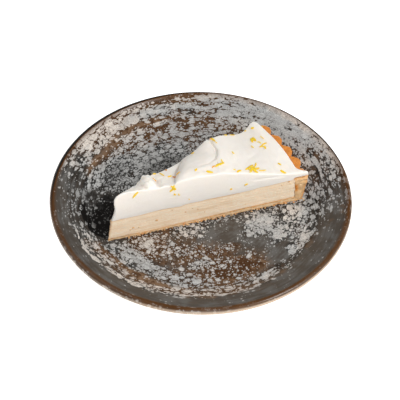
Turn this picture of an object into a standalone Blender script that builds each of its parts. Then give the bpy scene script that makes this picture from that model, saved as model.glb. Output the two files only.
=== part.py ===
"""A cut slice of lemon tart on a shallow stoneware plate: the real sizes of every solid piece.

The slice is drawn in its own polar coordinates. Reach is the distance out from the tart's centre,
which is the slice's tip, and turn is the share of the slice's angle, from 0 at the front cut to 1 at
the back cut. Heights of the slice are counted from its underside. Metres, +Z up, with the origin at
the middle of the plate's underside.
"""

import math
import random

import bmesh
import bpy
from mathutils import Matrix, Vector, noise
from mathutils.bvhtree import BVHTree

# The plate, a turned shallow dish with a thick rounded rim.
PLATE_RADIUS = 0.1025
PLATE_HEIGHT = 0.021
RIM_ROUND = 0.0025
WELL_FLOOR = 0.0085
WELL_FLOOR_RADIUS = 0.0715
WELL_WALL_RADIUS = 0.0975
WELL_WALL_TOP = 0.0188
WELL_WALL_SLOPE = math.radians(16)
FOOT_RADIUS = 0.062
FOOT_WIDTH = 0.005
FOOT_HEIGHT = 0.0025
BELLY_END_RADIUS = 0.065
BELLY_END_HEIGHT = 0.0033
PLATE_TURN_STEPS = 64

# The slice and where it lies on the plate.
MM = 0.001
GAP = 0.0003
WALL_GAP = 0.00035
TIP = Vector((-0.0615, -0.0374, WELL_FLOOR + GAP))
FRONT_CUT = math.radians(17.65)
SLICE_ANGLE = math.radians(24.55)

# The pastry case, a base that thins towards the tart's middle and a wall with flutes that flare outwards.
BASE_TIP_REACH = 0.0007
BASE_TIP_THICKNESS = 0.0016
BASE_THICKNESS = 0.0038
WALL_HEIGHT = 0.0225
WALL_INSIDE_FOOT = 0.1323
WALL_INSIDE_TOP = 0.1309
WALL_OUTSIDE_FOOT = 0.1368
WALL_OUTSIDE_TOP = 0.1380
WALL_EDGE = 0.0012
RIM_FLAT_START = 0.1338
BASE_STATIONS = (0.020, 0.040, 0.060, 0.080, 0.100, 0.120)
FLUTE_ANGLE = math.radians(5.2)
FLUTE_CREST = math.radians(19.0)
FLUTE_DEPTH_FOOT = 0.0012
FLUTE_DEPTH_TOP = 0.0036
STEPS_PER_FLUTE = 8
PASTRY_CRAG = 0.0003

# The lemon filling, a little thinner towards the tart's middle.
FILLING_TOP_AT_TIP = 0.0184
FILLING_TOP_AT_WALL = 0.0213
FILLING_TIP = ((0.0012, 0.0019), (0.0021, 0.0083), (0.0034, 0.0147))
FILLING_TIP_TOP = 0.0038

# The whipped cream's fold lines, which run across the slice. Each is its reach at the front cut, in the
# middle and at the back cut, then its height at the same three places, in millimetres.
CREAM_FOLDS = (
    ((8.6, 8.6, 9.2), (40.6, 38.8, 36.2)),
    ((13.5, 13.5, 14.5), (42.5, 40.4, 36.9)),
    ((21.0, 21.0, 21.0), (42.0, 40.2, 37.0)),
    ((27.0, 26.2, 25.8), (41.2, 40.2, 36.9)),
    ((29.8, 28.6, 28.6), (40.8, 41.3, 38.6)),
    ((32.4, 31.6, 31.4), (40.5, 42.1, 41.1)),
    ((35.2, 35.2, 34.8), (40.2, 41.0, 39.9)),
    ((37.2, 37.6, 38.0), (40.2, 38.7, 38.1)),
    ((40.0, 41.0, 43.5), (40.6, 39.0, 36.0)),
    ((43.4, 46.6, 54.0), (40.4, 37.4, 34.2)),
    ((46.2, 51.4, 63.2), (40.7, 36.8, 33.4)),
    ((48.2, 52.6, 65.2), (42.3, 40.6, 34.5)),
    ((55.0, 59.0, 70.5), (43.3, 42.6, 35.2)),
    ((64.0, 68.0, 78.0), (43.1, 42.6, 36.6)),
    ((74.0, 80.6, 86.0), (42.4, 39.9, 39.3)),
    ((76.5, 82.2, 87.6), (42.1, 42.0, 40.8)),
    ((82.0, 86.5, 91.0), (41.0, 41.0, 38.4)),
    ((90.0, 93.0, 97.0), (38.9, 37.6, 36.5)),
    ((98.0, 100.0, 104.5), (36.6, 34.4, 32.6)),
    ((106.0, 107.5, 113.5), (34.3, 31.6, 27.9)),
    ((113.5, 115.0, 120.0), (31.6, 29.8, 26.1)),
    ((120.0, 121.5, 124.0), (29.2, 29.6, 26.8)),
    ((126.0, 127.0, 129.2), (27.5, 29.6, 29.8)),
    ((131.6, 132.0, 133.8), (27.0, 28.2, 28.2)),
    ((134.6, 134.6, 136.7), (26.4, 26.3, 26.2)),
    ((135.3, 135.4, 137.6), (24.0, 24.0, 24.0)),
)
CREAM_EDGE = 0.0011
CREAM_FLAP = 0.0046
CREAM_FLAP_TURN = 0.06
CREAM_SAG_REACH = 0.073
CREAM_SAG_TURN = 0.40
CREAM_SAG_DEPTH = 0.0012
CREAM_RIB_REACH = 0.029
CREAM_RIB_SPACING = 0.0044
CREAM_RIB_HEIGHT = 0.0004
CREAM_UNEVENNESS = 0.0004
CREAM_TIP = ((0.0, 4.0), (0.10, 5.0), (0.25, 6.4), (0.45, 7.3), (0.70, 6.9), (0.88, 7.0), (1.0, 8.6))
CREAM_STEPS = (50, 14, 5)

# Lemon zest on the cream: reach in millimetres, turn, heading in degrees, length in millimetres. Where
# turn is below 0 the shred lies on the front cut, that many millimetres under the crest.
ZEST_WIDTH = 0.0009
ZEST_THICKNESS = 0.0006
ZEST_SEGMENTS = 3
ZEST_SEED = 7
ZEST = (
    (20.6, -1.9, 50, 5.2), (37.0, 0.90, 10, 2.4), (36.4, 0.66, -60, 3.6), (42.6, 0.72, -35, 3.8),
    (46.8, 0.50, 20, 2.8), (51.6, 0.42, 40, 5.0), (45.2, 0.07, 10, 3.0), (45.6, -1.6, 35, 3.6),
    (47.2, -2.6, 5, 2.2), (73.5, 0.93, 60, 2.0), (65.0, 0.38, 60, 2.0), (72.4, 0.22, 0, 4.0),
    (78.2, 0.28, 25, 6.0), (83.4, 0.33, -65, 3.6), (90.5, 0.93, 80, 2.8), (104.8, 0.84, 80, 2.6),
    (110.5, 0.83, 25, 3.4), (94.0, 0.47, -55, 2.6), (90.5, 0.05, 45, 3.4), (101.0, 0.20, 25, 5.0),
    (102.6, 0.12, -40, 4.4), (105.0, 0.22, 60, 4.4), (108.0, 0.10, 0, 5.0), (105.5, 0.14, 10, 3.2),
    (118.6, 0.76, 20, 3.2), (119.4, 0.71, 80, 2.8), (120.4, 0.62, 40, 4.0), (121.0, 0.57, -60, 3.0),
    (114.4, 0.62, -40, 2.6), (124.0, 0.90, 0, 2.4), (121.6, 0.06, -40, 4.2), (121.8, 0.18, -30, 2.6),
    (99.4, -5.2, 25, 3.2), (90.4, -8.6, 10, 1.4),
)

COLLECTION = "lemon tart"


def clear_scene():
    """Removes whatever the scene holds."""
    for obj in list(bpy.data.objects):
        bpy.data.objects.remove(obj)


def material(name, colour, roughness):
    """A Principled finish of one colour."""
    made = bpy.data.materials.new(name)
    made.use_nodes = True
    shader = made.node_tree.nodes["Principled BSDF"]
    shader.inputs["Base Color"].default_value = (*colour, 1.0)
    shader.inputs["Roughness"].default_value = roughness
    shader.inputs["Metallic"].default_value = 0.0
    return made


def add_object(name, bm, finish, group):
    """Turns a bmesh into an object of the group."""
    mesh = bpy.data.meshes.new(name)
    bm.to_mesh(mesh)
    bm.free()
    mesh.materials.append(finish)
    obj = bpy.data.objects.new(name, mesh)
    group.objects.link(obj)
    return obj


def smooth_share(value):
    """0 to 1 with a soft start and end."""
    share = min(1.0, max(0.0, value))
    return share * share * (3.0 - 2.0 * share)


def bell(distance, width):
    """1 at no distance, falling away over the width."""
    return math.exp(-((distance / width) ** 2))


def through(points, place):
    """Value at a place on a line through (place, value) points."""
    for (near, low), (far, high) in zip(points, points[1:]):
        if place <= far:
            return low + (high - low) * (place - near) / (far - near)
    return points[-1][1]


def across(values, turn):
    """Value at a turn on a parabola through the values at the front cut, the middle and the back cut."""
    front, middle, back = values
    return (
        front * 2.0 * (turn - 0.5) * (turn - 1.0)
        + middle * 4.0 * turn * (1.0 - turn)
        + back * 2.0 * turn * (turn - 0.5)
    )


def along_folds(values, place):
    """Soft curve through evenly numbered values, at a place between 0 and the last number."""
    last = len(values) - 1
    index = min(last - 1, int(place))
    share = place - index
    before, near = values[max(0, index - 1)], values[index]
    far, after = values[index + 1], values[min(last, index + 2)]
    rise, fall = (far - before) / 2.0, (after - near) / 2.0
    bend = 2.0 * (near - far) + rise + fall
    turn_over = 3.0 * (far - near) - 2.0 * rise - fall
    return near + share * (rise + share * (turn_over + share * bend))


def on_plate(reach, turn, height):
    """World position of a place in the slice."""
    angle = FRONT_CUT + SLICE_ANGLE * turn
    return TIP + Vector((reach * math.cos(angle), reach * math.sin(angle), height))


def hermite(start, end, start_slope, end_slope, share):
    """A point on a soft curve between two (radius, height) points with given slopes."""
    run = end[0] - start[0]
    high = share * share * (3.0 - 2.0 * share)
    leave = share * (1.0 - share) ** 2 * run * start_slope
    arrive = -share * share * (1.0 - share) * run * end_slope
    return start[0] + run * share, start[1] + (end[1] - start[1]) * high + leave + arrive


def plate_profile():
    """Points from the middle of the well, over the rim and round to the middle of the underside."""
    wall_steps, rim_steps, belly_steps = 8, 7, 5
    slope = math.tan(WELL_WALL_SLOPE)
    points = [(0.0, WELL_FLOOR)]
    for i in range(wall_steps + 1):
        floor_edge, wall_top = (WELL_FLOOR_RADIUS, WELL_FLOOR), (WELL_WALL_RADIUS, WELL_WALL_TOP)
        points.append(hermite(floor_edge, wall_top, 0.0, slope, i / wall_steps))
    start, sweep = math.radians(120), math.radians(225)
    for i in range(rim_steps + 1):
        angle = start - sweep * i / rim_steps
        points.append((
            PLATE_RADIUS - RIM_ROUND + RIM_ROUND * math.cos(angle),
            PLATE_HEIGHT - RIM_ROUND + RIM_ROUND * math.sin(angle),
        ))
    belly_start, belly_end = points[-1], (BELLY_END_RADIUS, BELLY_END_HEIGHT)
    for i in range(1, belly_steps + 1):
        points.append(hermite(belly_start, belly_end, 0.42, 0.12, i / belly_steps))
    points += [
        (FOOT_RADIUS, 0.0),
        (FOOT_RADIUS - FOOT_WIDTH, 0.0),
        (FOOT_RADIUS - FOOT_WIDTH - 0.0015, FOOT_HEIGHT),
        (0.0, FOOT_HEIGHT),
    ]
    return points


def make_plate(group):
    """The plate, its profile turned about the upright axis."""
    bm = bmesh.new()
    # The turned shape faces outwards when its profile runs from the well over the rim to the foot.
    verts = [bm.verts.new((radius, 0.0, height)) for radius, height in plate_profile()]
    for start, end in zip(verts, verts[1:]):
        bm.edges.new((start, end))
    plate = add_object("plate", bm, material("stoneware", (0.16, 0.14, 0.125), 0.4), group)
    turned = plate.modifiers.new("turned", "SCREW")
    turned.steps = turned.render_steps = PLATE_TURN_STEPS
    turned.use_merge_vertices = True
    turned.merge_threshold = 0.00005
    turned.use_smooth_shade = True
    return plate


def wall_inside(height):
    """Reach of the case's inner wall face at a height."""
    share = (height - BASE_THICKNESS) / (WALL_HEIGHT - BASE_THICKNESS)
    return WALL_INSIDE_FOOT + (WALL_INSIDE_TOP - WALL_INSIDE_FOOT) * share


def base_top(reach):
    """Height of the top of the case's base."""
    return BASE_TIP_THICKNESS + (BASE_THICKNESS - BASE_TIP_THICKNESS) * smooth_share((reach - 0.02) / 0.10)


def filling_top(reach):
    """Height of the filling's top."""
    share = reach / WALL_INSIDE_TOP
    return FILLING_TOP_AT_TIP + (FILLING_TOP_AT_WALL - FILLING_TOP_AT_TIP) * share


def spun_wedge(profile, steps, front_inset):
    """A bmesh of a closed (reach, height) outline swept from the front cut to the back cut."""
    bm = bmesh.new()
    outline = bm.faces.new([bm.verts.new((reach, 0.0, height)) for reach, height in profile])
    sweep = SLICE_ANGLE - 2.0 * front_inset
    start = Matrix.Rotation(FRONT_CUT + front_inset, 3, "Z")
    bmesh.ops.rotate(bm, verts=list(bm.verts), cent=(0, 0, 0), matrix=start)
    bmesh.ops.spin(
        bm, geom=[*bm.verts, *bm.edges, outline], cent=(0, 0, 0), axis=(0, 0, 1),
        angle=sweep, steps=steps, use_merge=False,
    )
    bmesh.ops.remove_doubles(bm, verts=list(bm.verts), dist=1e-6)
    bmesh.ops.recalc_face_normals(bm, faces=list(bm.faces))
    return bm


def flute(angle):
    """0 in a flute's valley and 1 on its crest."""
    return abs(math.cos(math.pi * (angle - FLUTE_CREST) / FLUTE_ANGLE)) ** 0.8


def make_pastry_case(group):
    """The case: a thin base and a flared wall with scalloped flutes, cut by the knife on two sides."""
    outer = WALL_OUTSIDE_TOP - WALL_OUTSIDE_FOOT
    profile = [(BASE_TIP_REACH, 0.0)]
    profile += [(reach, 0.0) for reach in BASE_STATIONS]
    profile += [
        (WALL_OUTSIDE_FOOT - WALL_EDGE, 0.0),
        (WALL_OUTSIDE_FOOT, WALL_EDGE),
        (WALL_OUTSIDE_FOOT + outer * 0.40, WALL_HEIGHT * 0.36),
        (WALL_OUTSIDE_FOOT + outer * 0.72, WALL_HEIGHT * 0.68),
        (WALL_OUTSIDE_TOP, WALL_HEIGHT - WALL_EDGE),
        (WALL_OUTSIDE_TOP - WALL_EDGE * 0.4, WALL_HEIGHT - WALL_EDGE * 0.3),
        (WALL_OUTSIDE_TOP - WALL_EDGE * 1.2, WALL_HEIGHT),
        (RIM_FLAT_START, WALL_HEIGHT),
        (WALL_INSIDE_TOP + WALL_EDGE, WALL_HEIGHT),
        (WALL_INSIDE_TOP, WALL_HEIGHT - WALL_EDGE * 0.6),
        (WALL_INSIDE_FOOT, BASE_THICKNESS),
    ]
    profile += [(reach, base_top(reach)) for reach in reversed(BASE_STATIONS)]
    profile.append((BASE_TIP_REACH + 0.0002, BASE_TIP_THICKNESS))
    steps = round(STEPS_PER_FLUTE * SLICE_ANGLE / FLUTE_ANGLE)
    bm = spun_wedge(profile, steps, 0.0)
    for vert in bm.verts:
        reach = math.hypot(vert.co.x, vert.co.y)
        if reach < RIM_FLAT_START:
            continue
        angle = math.atan2(vert.co.y, vert.co.x)
        share = vert.co.z / WALL_HEIGHT
        depth = FLUTE_DEPTH_FOOT + (FLUTE_DEPTH_TOP - FLUTE_DEPTH_FOOT) * share
        inward = smooth_share((reach - RIM_FLAT_START) / 0.0022) if share > 0.99 else 1.0
        crag = PASTRY_CRAG * noise.noise(vert.co * 380.0)
        grown = reach + depth * flute(angle) * inward + crag
        vert.co.x *= grown / reach
        vert.co.y *= grown / reach
        if share > 0.5:
            vert.co.z += crag * 1.5
    bmesh.ops.translate(bm, verts=list(bm.verts), vec=TIP)
    return add_object("pastry_case", bm, material("baked pastry", (0.62, 0.33, 0.13), 0.75), group)


def make_filling(group):
    """The lemon filling, which fills the case up to just under its rim."""
    crest_reach = wall_inside(FILLING_TOP_AT_WALL) - WALL_GAP
    profile = [FILLING_TIP[0]]
    profile += [(reach, base_top(reach) + GAP) for reach in BASE_STATIONS]
    profile.append((WALL_INSIDE_FOOT - WALL_GAP, BASE_THICKNESS + GAP))
    top_steps = 10
    for i in range(top_steps + 1):
        reach = crest_reach + (FILLING_TIP_TOP - crest_reach) * (i / top_steps)
        profile.append((reach, filling_top(reach)))
    profile += reversed(FILLING_TIP[1:])
    bm = spun_wedge(profile, 8, math.radians(0.1))
    bmesh.ops.translate(bm, verts=list(bm.verts), vec=TIP)
    return add_object("filling", bm, material("lemon filling", (0.76, 0.61, 0.43), 0.6), group)


def cream_bottom(reach):
    """The cream's underside: on the filling, then up onto the case's rim."""
    on_filling = filling_top(reach) + GAP
    on_rim = WALL_HEIGHT + 2.0 * GAP + PASTRY_CRAG
    return on_filling + (on_rim - on_filling) * smooth_share((reach - WALL_INSIDE_TOP + 0.0016) / 0.0010)


def cream_top(place, turn):
    """Reach and height of the cream's top at a place counted in fold lines."""
    reach = MM * along_folds([across(reaches, turn) for reaches, _ in CREAM_FOLDS], place)
    height = MM * along_folds([across(heights, turn) for _, heights in CREAM_FOLDS], place)
    last = len(CREAM_FOLDS) - 1
    reach += CREAM_FLAP * bell(turn, CREAM_FLAP_TURN) * smooth_share((place - last + 4.0) / 3.0)
    height -= CREAM_SAG_DEPTH * bell(turn - CREAM_SAG_TURN, 0.09) * bell(reach - CREAM_SAG_REACH, 0.008)
    rib = math.cos(2.0 * math.pi * (reach + 0.004 * turn) / CREAM_RIB_SPACING)
    height += CREAM_RIB_HEIGHT * rib * bell(reach - CREAM_RIB_REACH, 0.007) * smooth_share(turn / 0.2)
    height += CREAM_UNEVENNESS * noise.noise(Vector((reach * 90.0, turn * 3.2, 1.7)))
    return reach, height


def cream_place(along, turn, share):
    """World position in the cream: along it from tip to rim, across it, and up from bottom to top."""
    reach, top = cream_top(along * (len(CREAM_FOLDS) - 1), turn)
    shoulder = CREAM_TIP[-1][1] * MM
    undercut = shoulder - through(CREAM_TIP, share) * MM
    reach -= undercut * max(0.0, 1.0 - (reach - shoulder) / 0.015)
    bottom = cream_bottom(reach)
    width = max(reach * SLICE_ANGLE, 0.0001)
    edge = min(turn, 1.0 - turn) * width
    round_off = min(CREAM_EDGE, width * 0.4)
    if edge < round_off:
        top -= round_off * (1.0 - math.sqrt(1.0 - (1.0 - edge / round_off) ** 2))
    height = bottom + (top - bottom) * share
    bulge = 0.0005 * math.sin(math.pi * share) * (1.0 if turn in (0.0, 1.0) else 0.0)
    side = -1.0 if turn == 0.0 else 1.0
    return on_plate(reach, turn + side * bulge / width, height)


def spread_turn(value):
    """Packs the columns of the cream's grid towards its two cut edges."""
    centred = 2.0 * value - 1.0
    return 0.5 + 0.5 * (0.72 * centred + 0.28 * centred ** 5)


def block_skin(steps, place):
    """A bmesh of the six sides of a unit cube, each a grid, moved to where place puts them."""
    bm = bmesh.new()
    for axis in range(3):
        first, second = [other for other in range(3) if other != axis]
        for level in (0.0, 1.0):
            grid = bmesh.ops.create_grid(bm, x_segments=steps[first], y_segments=steps[second], size=0.5)
            for vert in grid["verts"]:
                shares = (vert.co.x + 0.5, vert.co.y + 0.5)
                vert.co[axis], vert.co[first], vert.co[second] = level, *shares
    bmesh.ops.remove_doubles(bm, verts=list(bm.verts), dist=1e-5)
    bmesh.ops.recalc_face_normals(bm, faces=list(bm.faces))
    for vert in bm.verts:
        vert.co = place(*(min(1.0, max(0.0, round(share, 6))) for share in vert.co))
    return bm


def zest_stations(skin, reach, turn, heading, length, bend):
    """Points along one shred and the skin's outward direction at each, on the top or the front cut."""
    stations = []
    for i in range(ZEST_SEGMENTS + 1):
        along = (i / ZEST_SEGMENTS - 0.5) * length
        curve = bend * (1.0 - (2.0 * i / ZEST_SEGMENTS - 1.0) ** 2)
        at_reach = reach + along * math.cos(heading) - curve * math.sin(heading)
        side = along * math.sin(heading) + curve * math.cos(heading)
        at_turn = 0.05 if turn < 0.0 else min(0.96, max(0.04, turn + side / (at_reach * SLICE_ANGLE)))
        point, outward = skin.ray_cast(on_plate(at_reach, at_turn, 0.06), Vector((0, 0, -1)))[:2]
        if turn < 0.0:
            crest = point.z - TIP.z
            wanted = on_plate(at_reach, 0.0, crest - CREAM_EDGE + turn * MM + side)
            point, outward = skin.find_nearest(wanted)[:2]
        stations.append((point + outward * ZEST_THICKNESS * 0.15, outward))
    return stations


def make_shred(stations, number, finish, group):
    """One shred of zest: a flat bar bent along its middle line."""
    bm = bmesh.new()
    bmesh.ops.create_cube(bm, size=1.0)
    lengthwise = [edge for edge in bm.edges if abs(edge.verts[0].co.x - edge.verts[1].co.x) > 0.5]
    bmesh.ops.subdivide_edges(bm, edges=lengthwise, cuts=ZEST_SEGMENTS - 1, use_grid_fill=True)
    for vert in bm.verts:
        station = round((vert.co.x + 0.5) * ZEST_SEGMENTS)
        middle, outward = stations[station]
        ahead = stations[min(ZEST_SEGMENTS, station + 1)][0] - stations[max(0, station - 1)][0]
        sideways = outward.cross(ahead).normalized()
        taper = 0.6 if station in (0, ZEST_SEGMENTS) else 1.0
        vert.co = (
            middle
            + sideways * (vert.co.y * ZEST_WIDTH * taper)
            + outward * (vert.co.z * ZEST_THICKNESS)
        )
    return add_object(f"shred_{number:02d}", bm, finish, group)


def make_cream(group, scratch):
    """The whipped cream with its zest, joined into one solid."""
    finish = material("whipped cream", (0.88, 0.85, 0.80), 0.5)
    bm = block_skin(CREAM_STEPS, lambda along, turn, share: cream_place(along, spread_turn(turn), share))
    skin = BVHTree.FromBMesh(bm)
    cream = add_object("cream", bm, finish, group)
    draw = random.Random(ZEST_SEED)
    for number, (reach, turn, heading, length) in enumerate(ZEST):
        bend = draw.uniform(-0.16, 0.16) * length * MM
        stations = zest_stations(skin, reach * MM, turn, math.radians(heading), length * MM, bend)
        make_shred(stations, number, finish, scratch)
    joined = cream.modifiers.new("zest", "BOOLEAN")
    joined.operation = "UNION"
    joined.operand_type = "COLLECTION"
    joined.collection = scratch
    # Shreds that cross one another join into one closed solid only with this solver.
    joined.solver = "MANIFOLD"
    applied = bpy.data.meshes.new_from_object(cream.evaluated_get(bpy.context.evaluated_depsgraph_get()))
    cream.modifiers.clear()
    cream.data = applied
    cream.data.materials.clear()
    cream.data.materials.append(finish)
    for shred in list(scratch.objects):
        bpy.data.objects.remove(shred)
    bpy.data.collections.remove(scratch)
    return cream


def main():
    """Builds the plate and the slice on it."""
    clear_scene()
    group = bpy.data.collections.new(COLLECTION)
    scratch = bpy.data.collections.new("zest shreds")
    for collection in (group, scratch):
        bpy.context.scene.collection.children.link(collection)
    make_plate(group)
    case = make_pastry_case(group)
    filling = make_filling(group)
    cream = make_cream(group, scratch)
    for piece in (case, filling, cream):
        piece.data.set_sharp_from_angle(angle=math.radians(40))


main()
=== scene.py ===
"""A slice of lemon tart on its speckled stoneware plate, dressed for a picture.

Metres, +Z up, with the origin at the middle of the plate's underside. The slice is drawn in polar
coordinates of its own: reach is the distance out from the tart's centre, which is the slice's tip, and
turn runs from 0 at the front cut to 1 at the back cut. Heights of the slice start at its underside.
"""

import logging
import math
import random
from collections.abc import Callable, Mapping, Sequence
from dataclasses import dataclass
from enum import Enum
from typing import Any

import bmesh
import bpy
import numpy as np
from mathutils import Matrix, Vector, noise
from mathutils.bvhtree import BVHTree


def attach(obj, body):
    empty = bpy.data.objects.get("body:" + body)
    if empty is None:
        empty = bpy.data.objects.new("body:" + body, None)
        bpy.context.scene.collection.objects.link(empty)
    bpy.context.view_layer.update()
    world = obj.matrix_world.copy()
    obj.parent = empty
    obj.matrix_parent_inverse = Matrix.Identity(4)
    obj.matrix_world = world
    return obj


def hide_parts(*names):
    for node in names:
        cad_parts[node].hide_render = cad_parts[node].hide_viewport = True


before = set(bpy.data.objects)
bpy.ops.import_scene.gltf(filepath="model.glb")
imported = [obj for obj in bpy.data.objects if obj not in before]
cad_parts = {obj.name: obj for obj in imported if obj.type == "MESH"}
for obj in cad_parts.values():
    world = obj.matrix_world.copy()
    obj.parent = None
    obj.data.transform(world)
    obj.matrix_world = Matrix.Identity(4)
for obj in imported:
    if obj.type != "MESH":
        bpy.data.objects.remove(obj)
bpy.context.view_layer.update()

log = logging.getLogger("lemon_tart")

BODY = "root"
MM = 0.001
ON_FACE = 1e-6
LEVEL = (1.0, 1.0, 0.0)
Pair = tuple[float, float]
Triple = tuple[float, float, float]
Quad = tuple[float, float, float, float]
Colour = Triple
Points = np.ndarray
Station = tuple[Vector, Vector]
Socket = bpy.types.NodeSocket


class Slot(Enum):
    """The material slots of the part's record."""

    PLATE = "plate"
    PASTRY = "pastry_case"
    FILLING = "filling"
    CREAM = "cream"


class Cut(Enum):
    """The two faces that the knife left, by their turn."""

    FRONT = 0.0
    BACK = 1.0


def paint(red: int, green: int, blue: int) -> Colour:
    """Linear colour of a paint chip given as it looks, 0 to 255.

    Args:
        red: Red of the chip.
        green: Green of the chip.
        blue: Blue of the chip.

    Returns:
        The colour as the shader takes it.
    """
    linear = []
    for level in (red, green, blue):
        share = level / 255.0
        linear.append(share / 12.92 if share <= 0.04045 else ((share + 0.055) / 1.055) ** 2.4)
    return tuple(linear)


def eased(values: Points) -> Points:
    """0 to 1 with a soft start and end."""
    shares = np.clip(values, 0.0, 1.0)
    return shares * shares * (3.0 - 2.0 * shares)


def bell(distance: Points, width: float) -> Points:
    """1 at no distance, falling away over the width."""
    return np.exp(-((distance / width) ** 2))


def grain(points: Points, size: float = 1.0, shift: float = 0.0) -> Points:
    """Soft noise from -1 to 1 at each point.

    Args:
        points: One row of three coordinates for each point.
        size: How far apart the lumps are, in the coordinates' own unit.
        shift: Moves the pattern, so that two layers differ.

    Returns:
        One number for each point.
    """
    moved = points / size + shift
    return np.array([noise.noise(Vector(row)) for row in moved])


def triples(*columns: Points | float) -> Points:
    """Stacks coordinates into one row of three for each point."""
    return np.stack(np.broadcast_arrays(*columns), axis=-1)


def degrees_off(bearings: Points, middle: float) -> Points:
    """Degrees from the middle bearing, at most half a turn to either side."""
    return (bearings - middle + 180.0) % 360.0 - 180.0


def math_node(operation: str, swapped: bool = False) -> Callable[["Value", "Value | float"], "Value"]:
    """Makes a method of Value that puts a Math node on it and another number.

    Args:
        operation: The node's operation.
        swapped: Whether the other number comes first.

    Returns:
        The method.
    """
    def method(self: "Value", other: "Value | float") -> "Value":
        """Joins this value and another number.

        Args:
            other: The other number.

        Returns:
            The node's result.
        """
        pair = (other, self) if swapped else (self, other)
        made = self.look.node("ShaderNodeMath", {"operation": operation}, dict(enumerate(pair)))
        return Value(self.look, made.outputs[0])

    return method


class Value:
    """A number in a finish's node tree that takes part in sums."""

    __add__ = __radd__ = math_node("ADD")
    __mul__ = __rmul__ = math_node("MULTIPLY")
    __sub__ = math_node("SUBTRACT")
    __rsub__ = math_node("SUBTRACT", swapped=True)
    at_least = math_node("MAXIMUM")
    at_most = math_node("MINIMUM")

    def __init__(self, look: "Look", socket: Socket) -> None:
        """Wraps a socket of the look's tree."""
        self.look = look
        self.socket = socket

    def rise(self, low: float, high: float) -> "Value":
        """Steps softly from 0 to 1.

        Args:
            low: The value up to which it is 0.
            high: The value from which it is 1.

        Returns:
            The step.
        """
        ends = {"Value": self, "From Min": low, "From Max": high}
        made = self.look.node("ShaderNodeMapRange", {"interpolation_type": "SMOOTHSTEP"}, ends)
        return Value(self.look, made.outputs[0])


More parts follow.
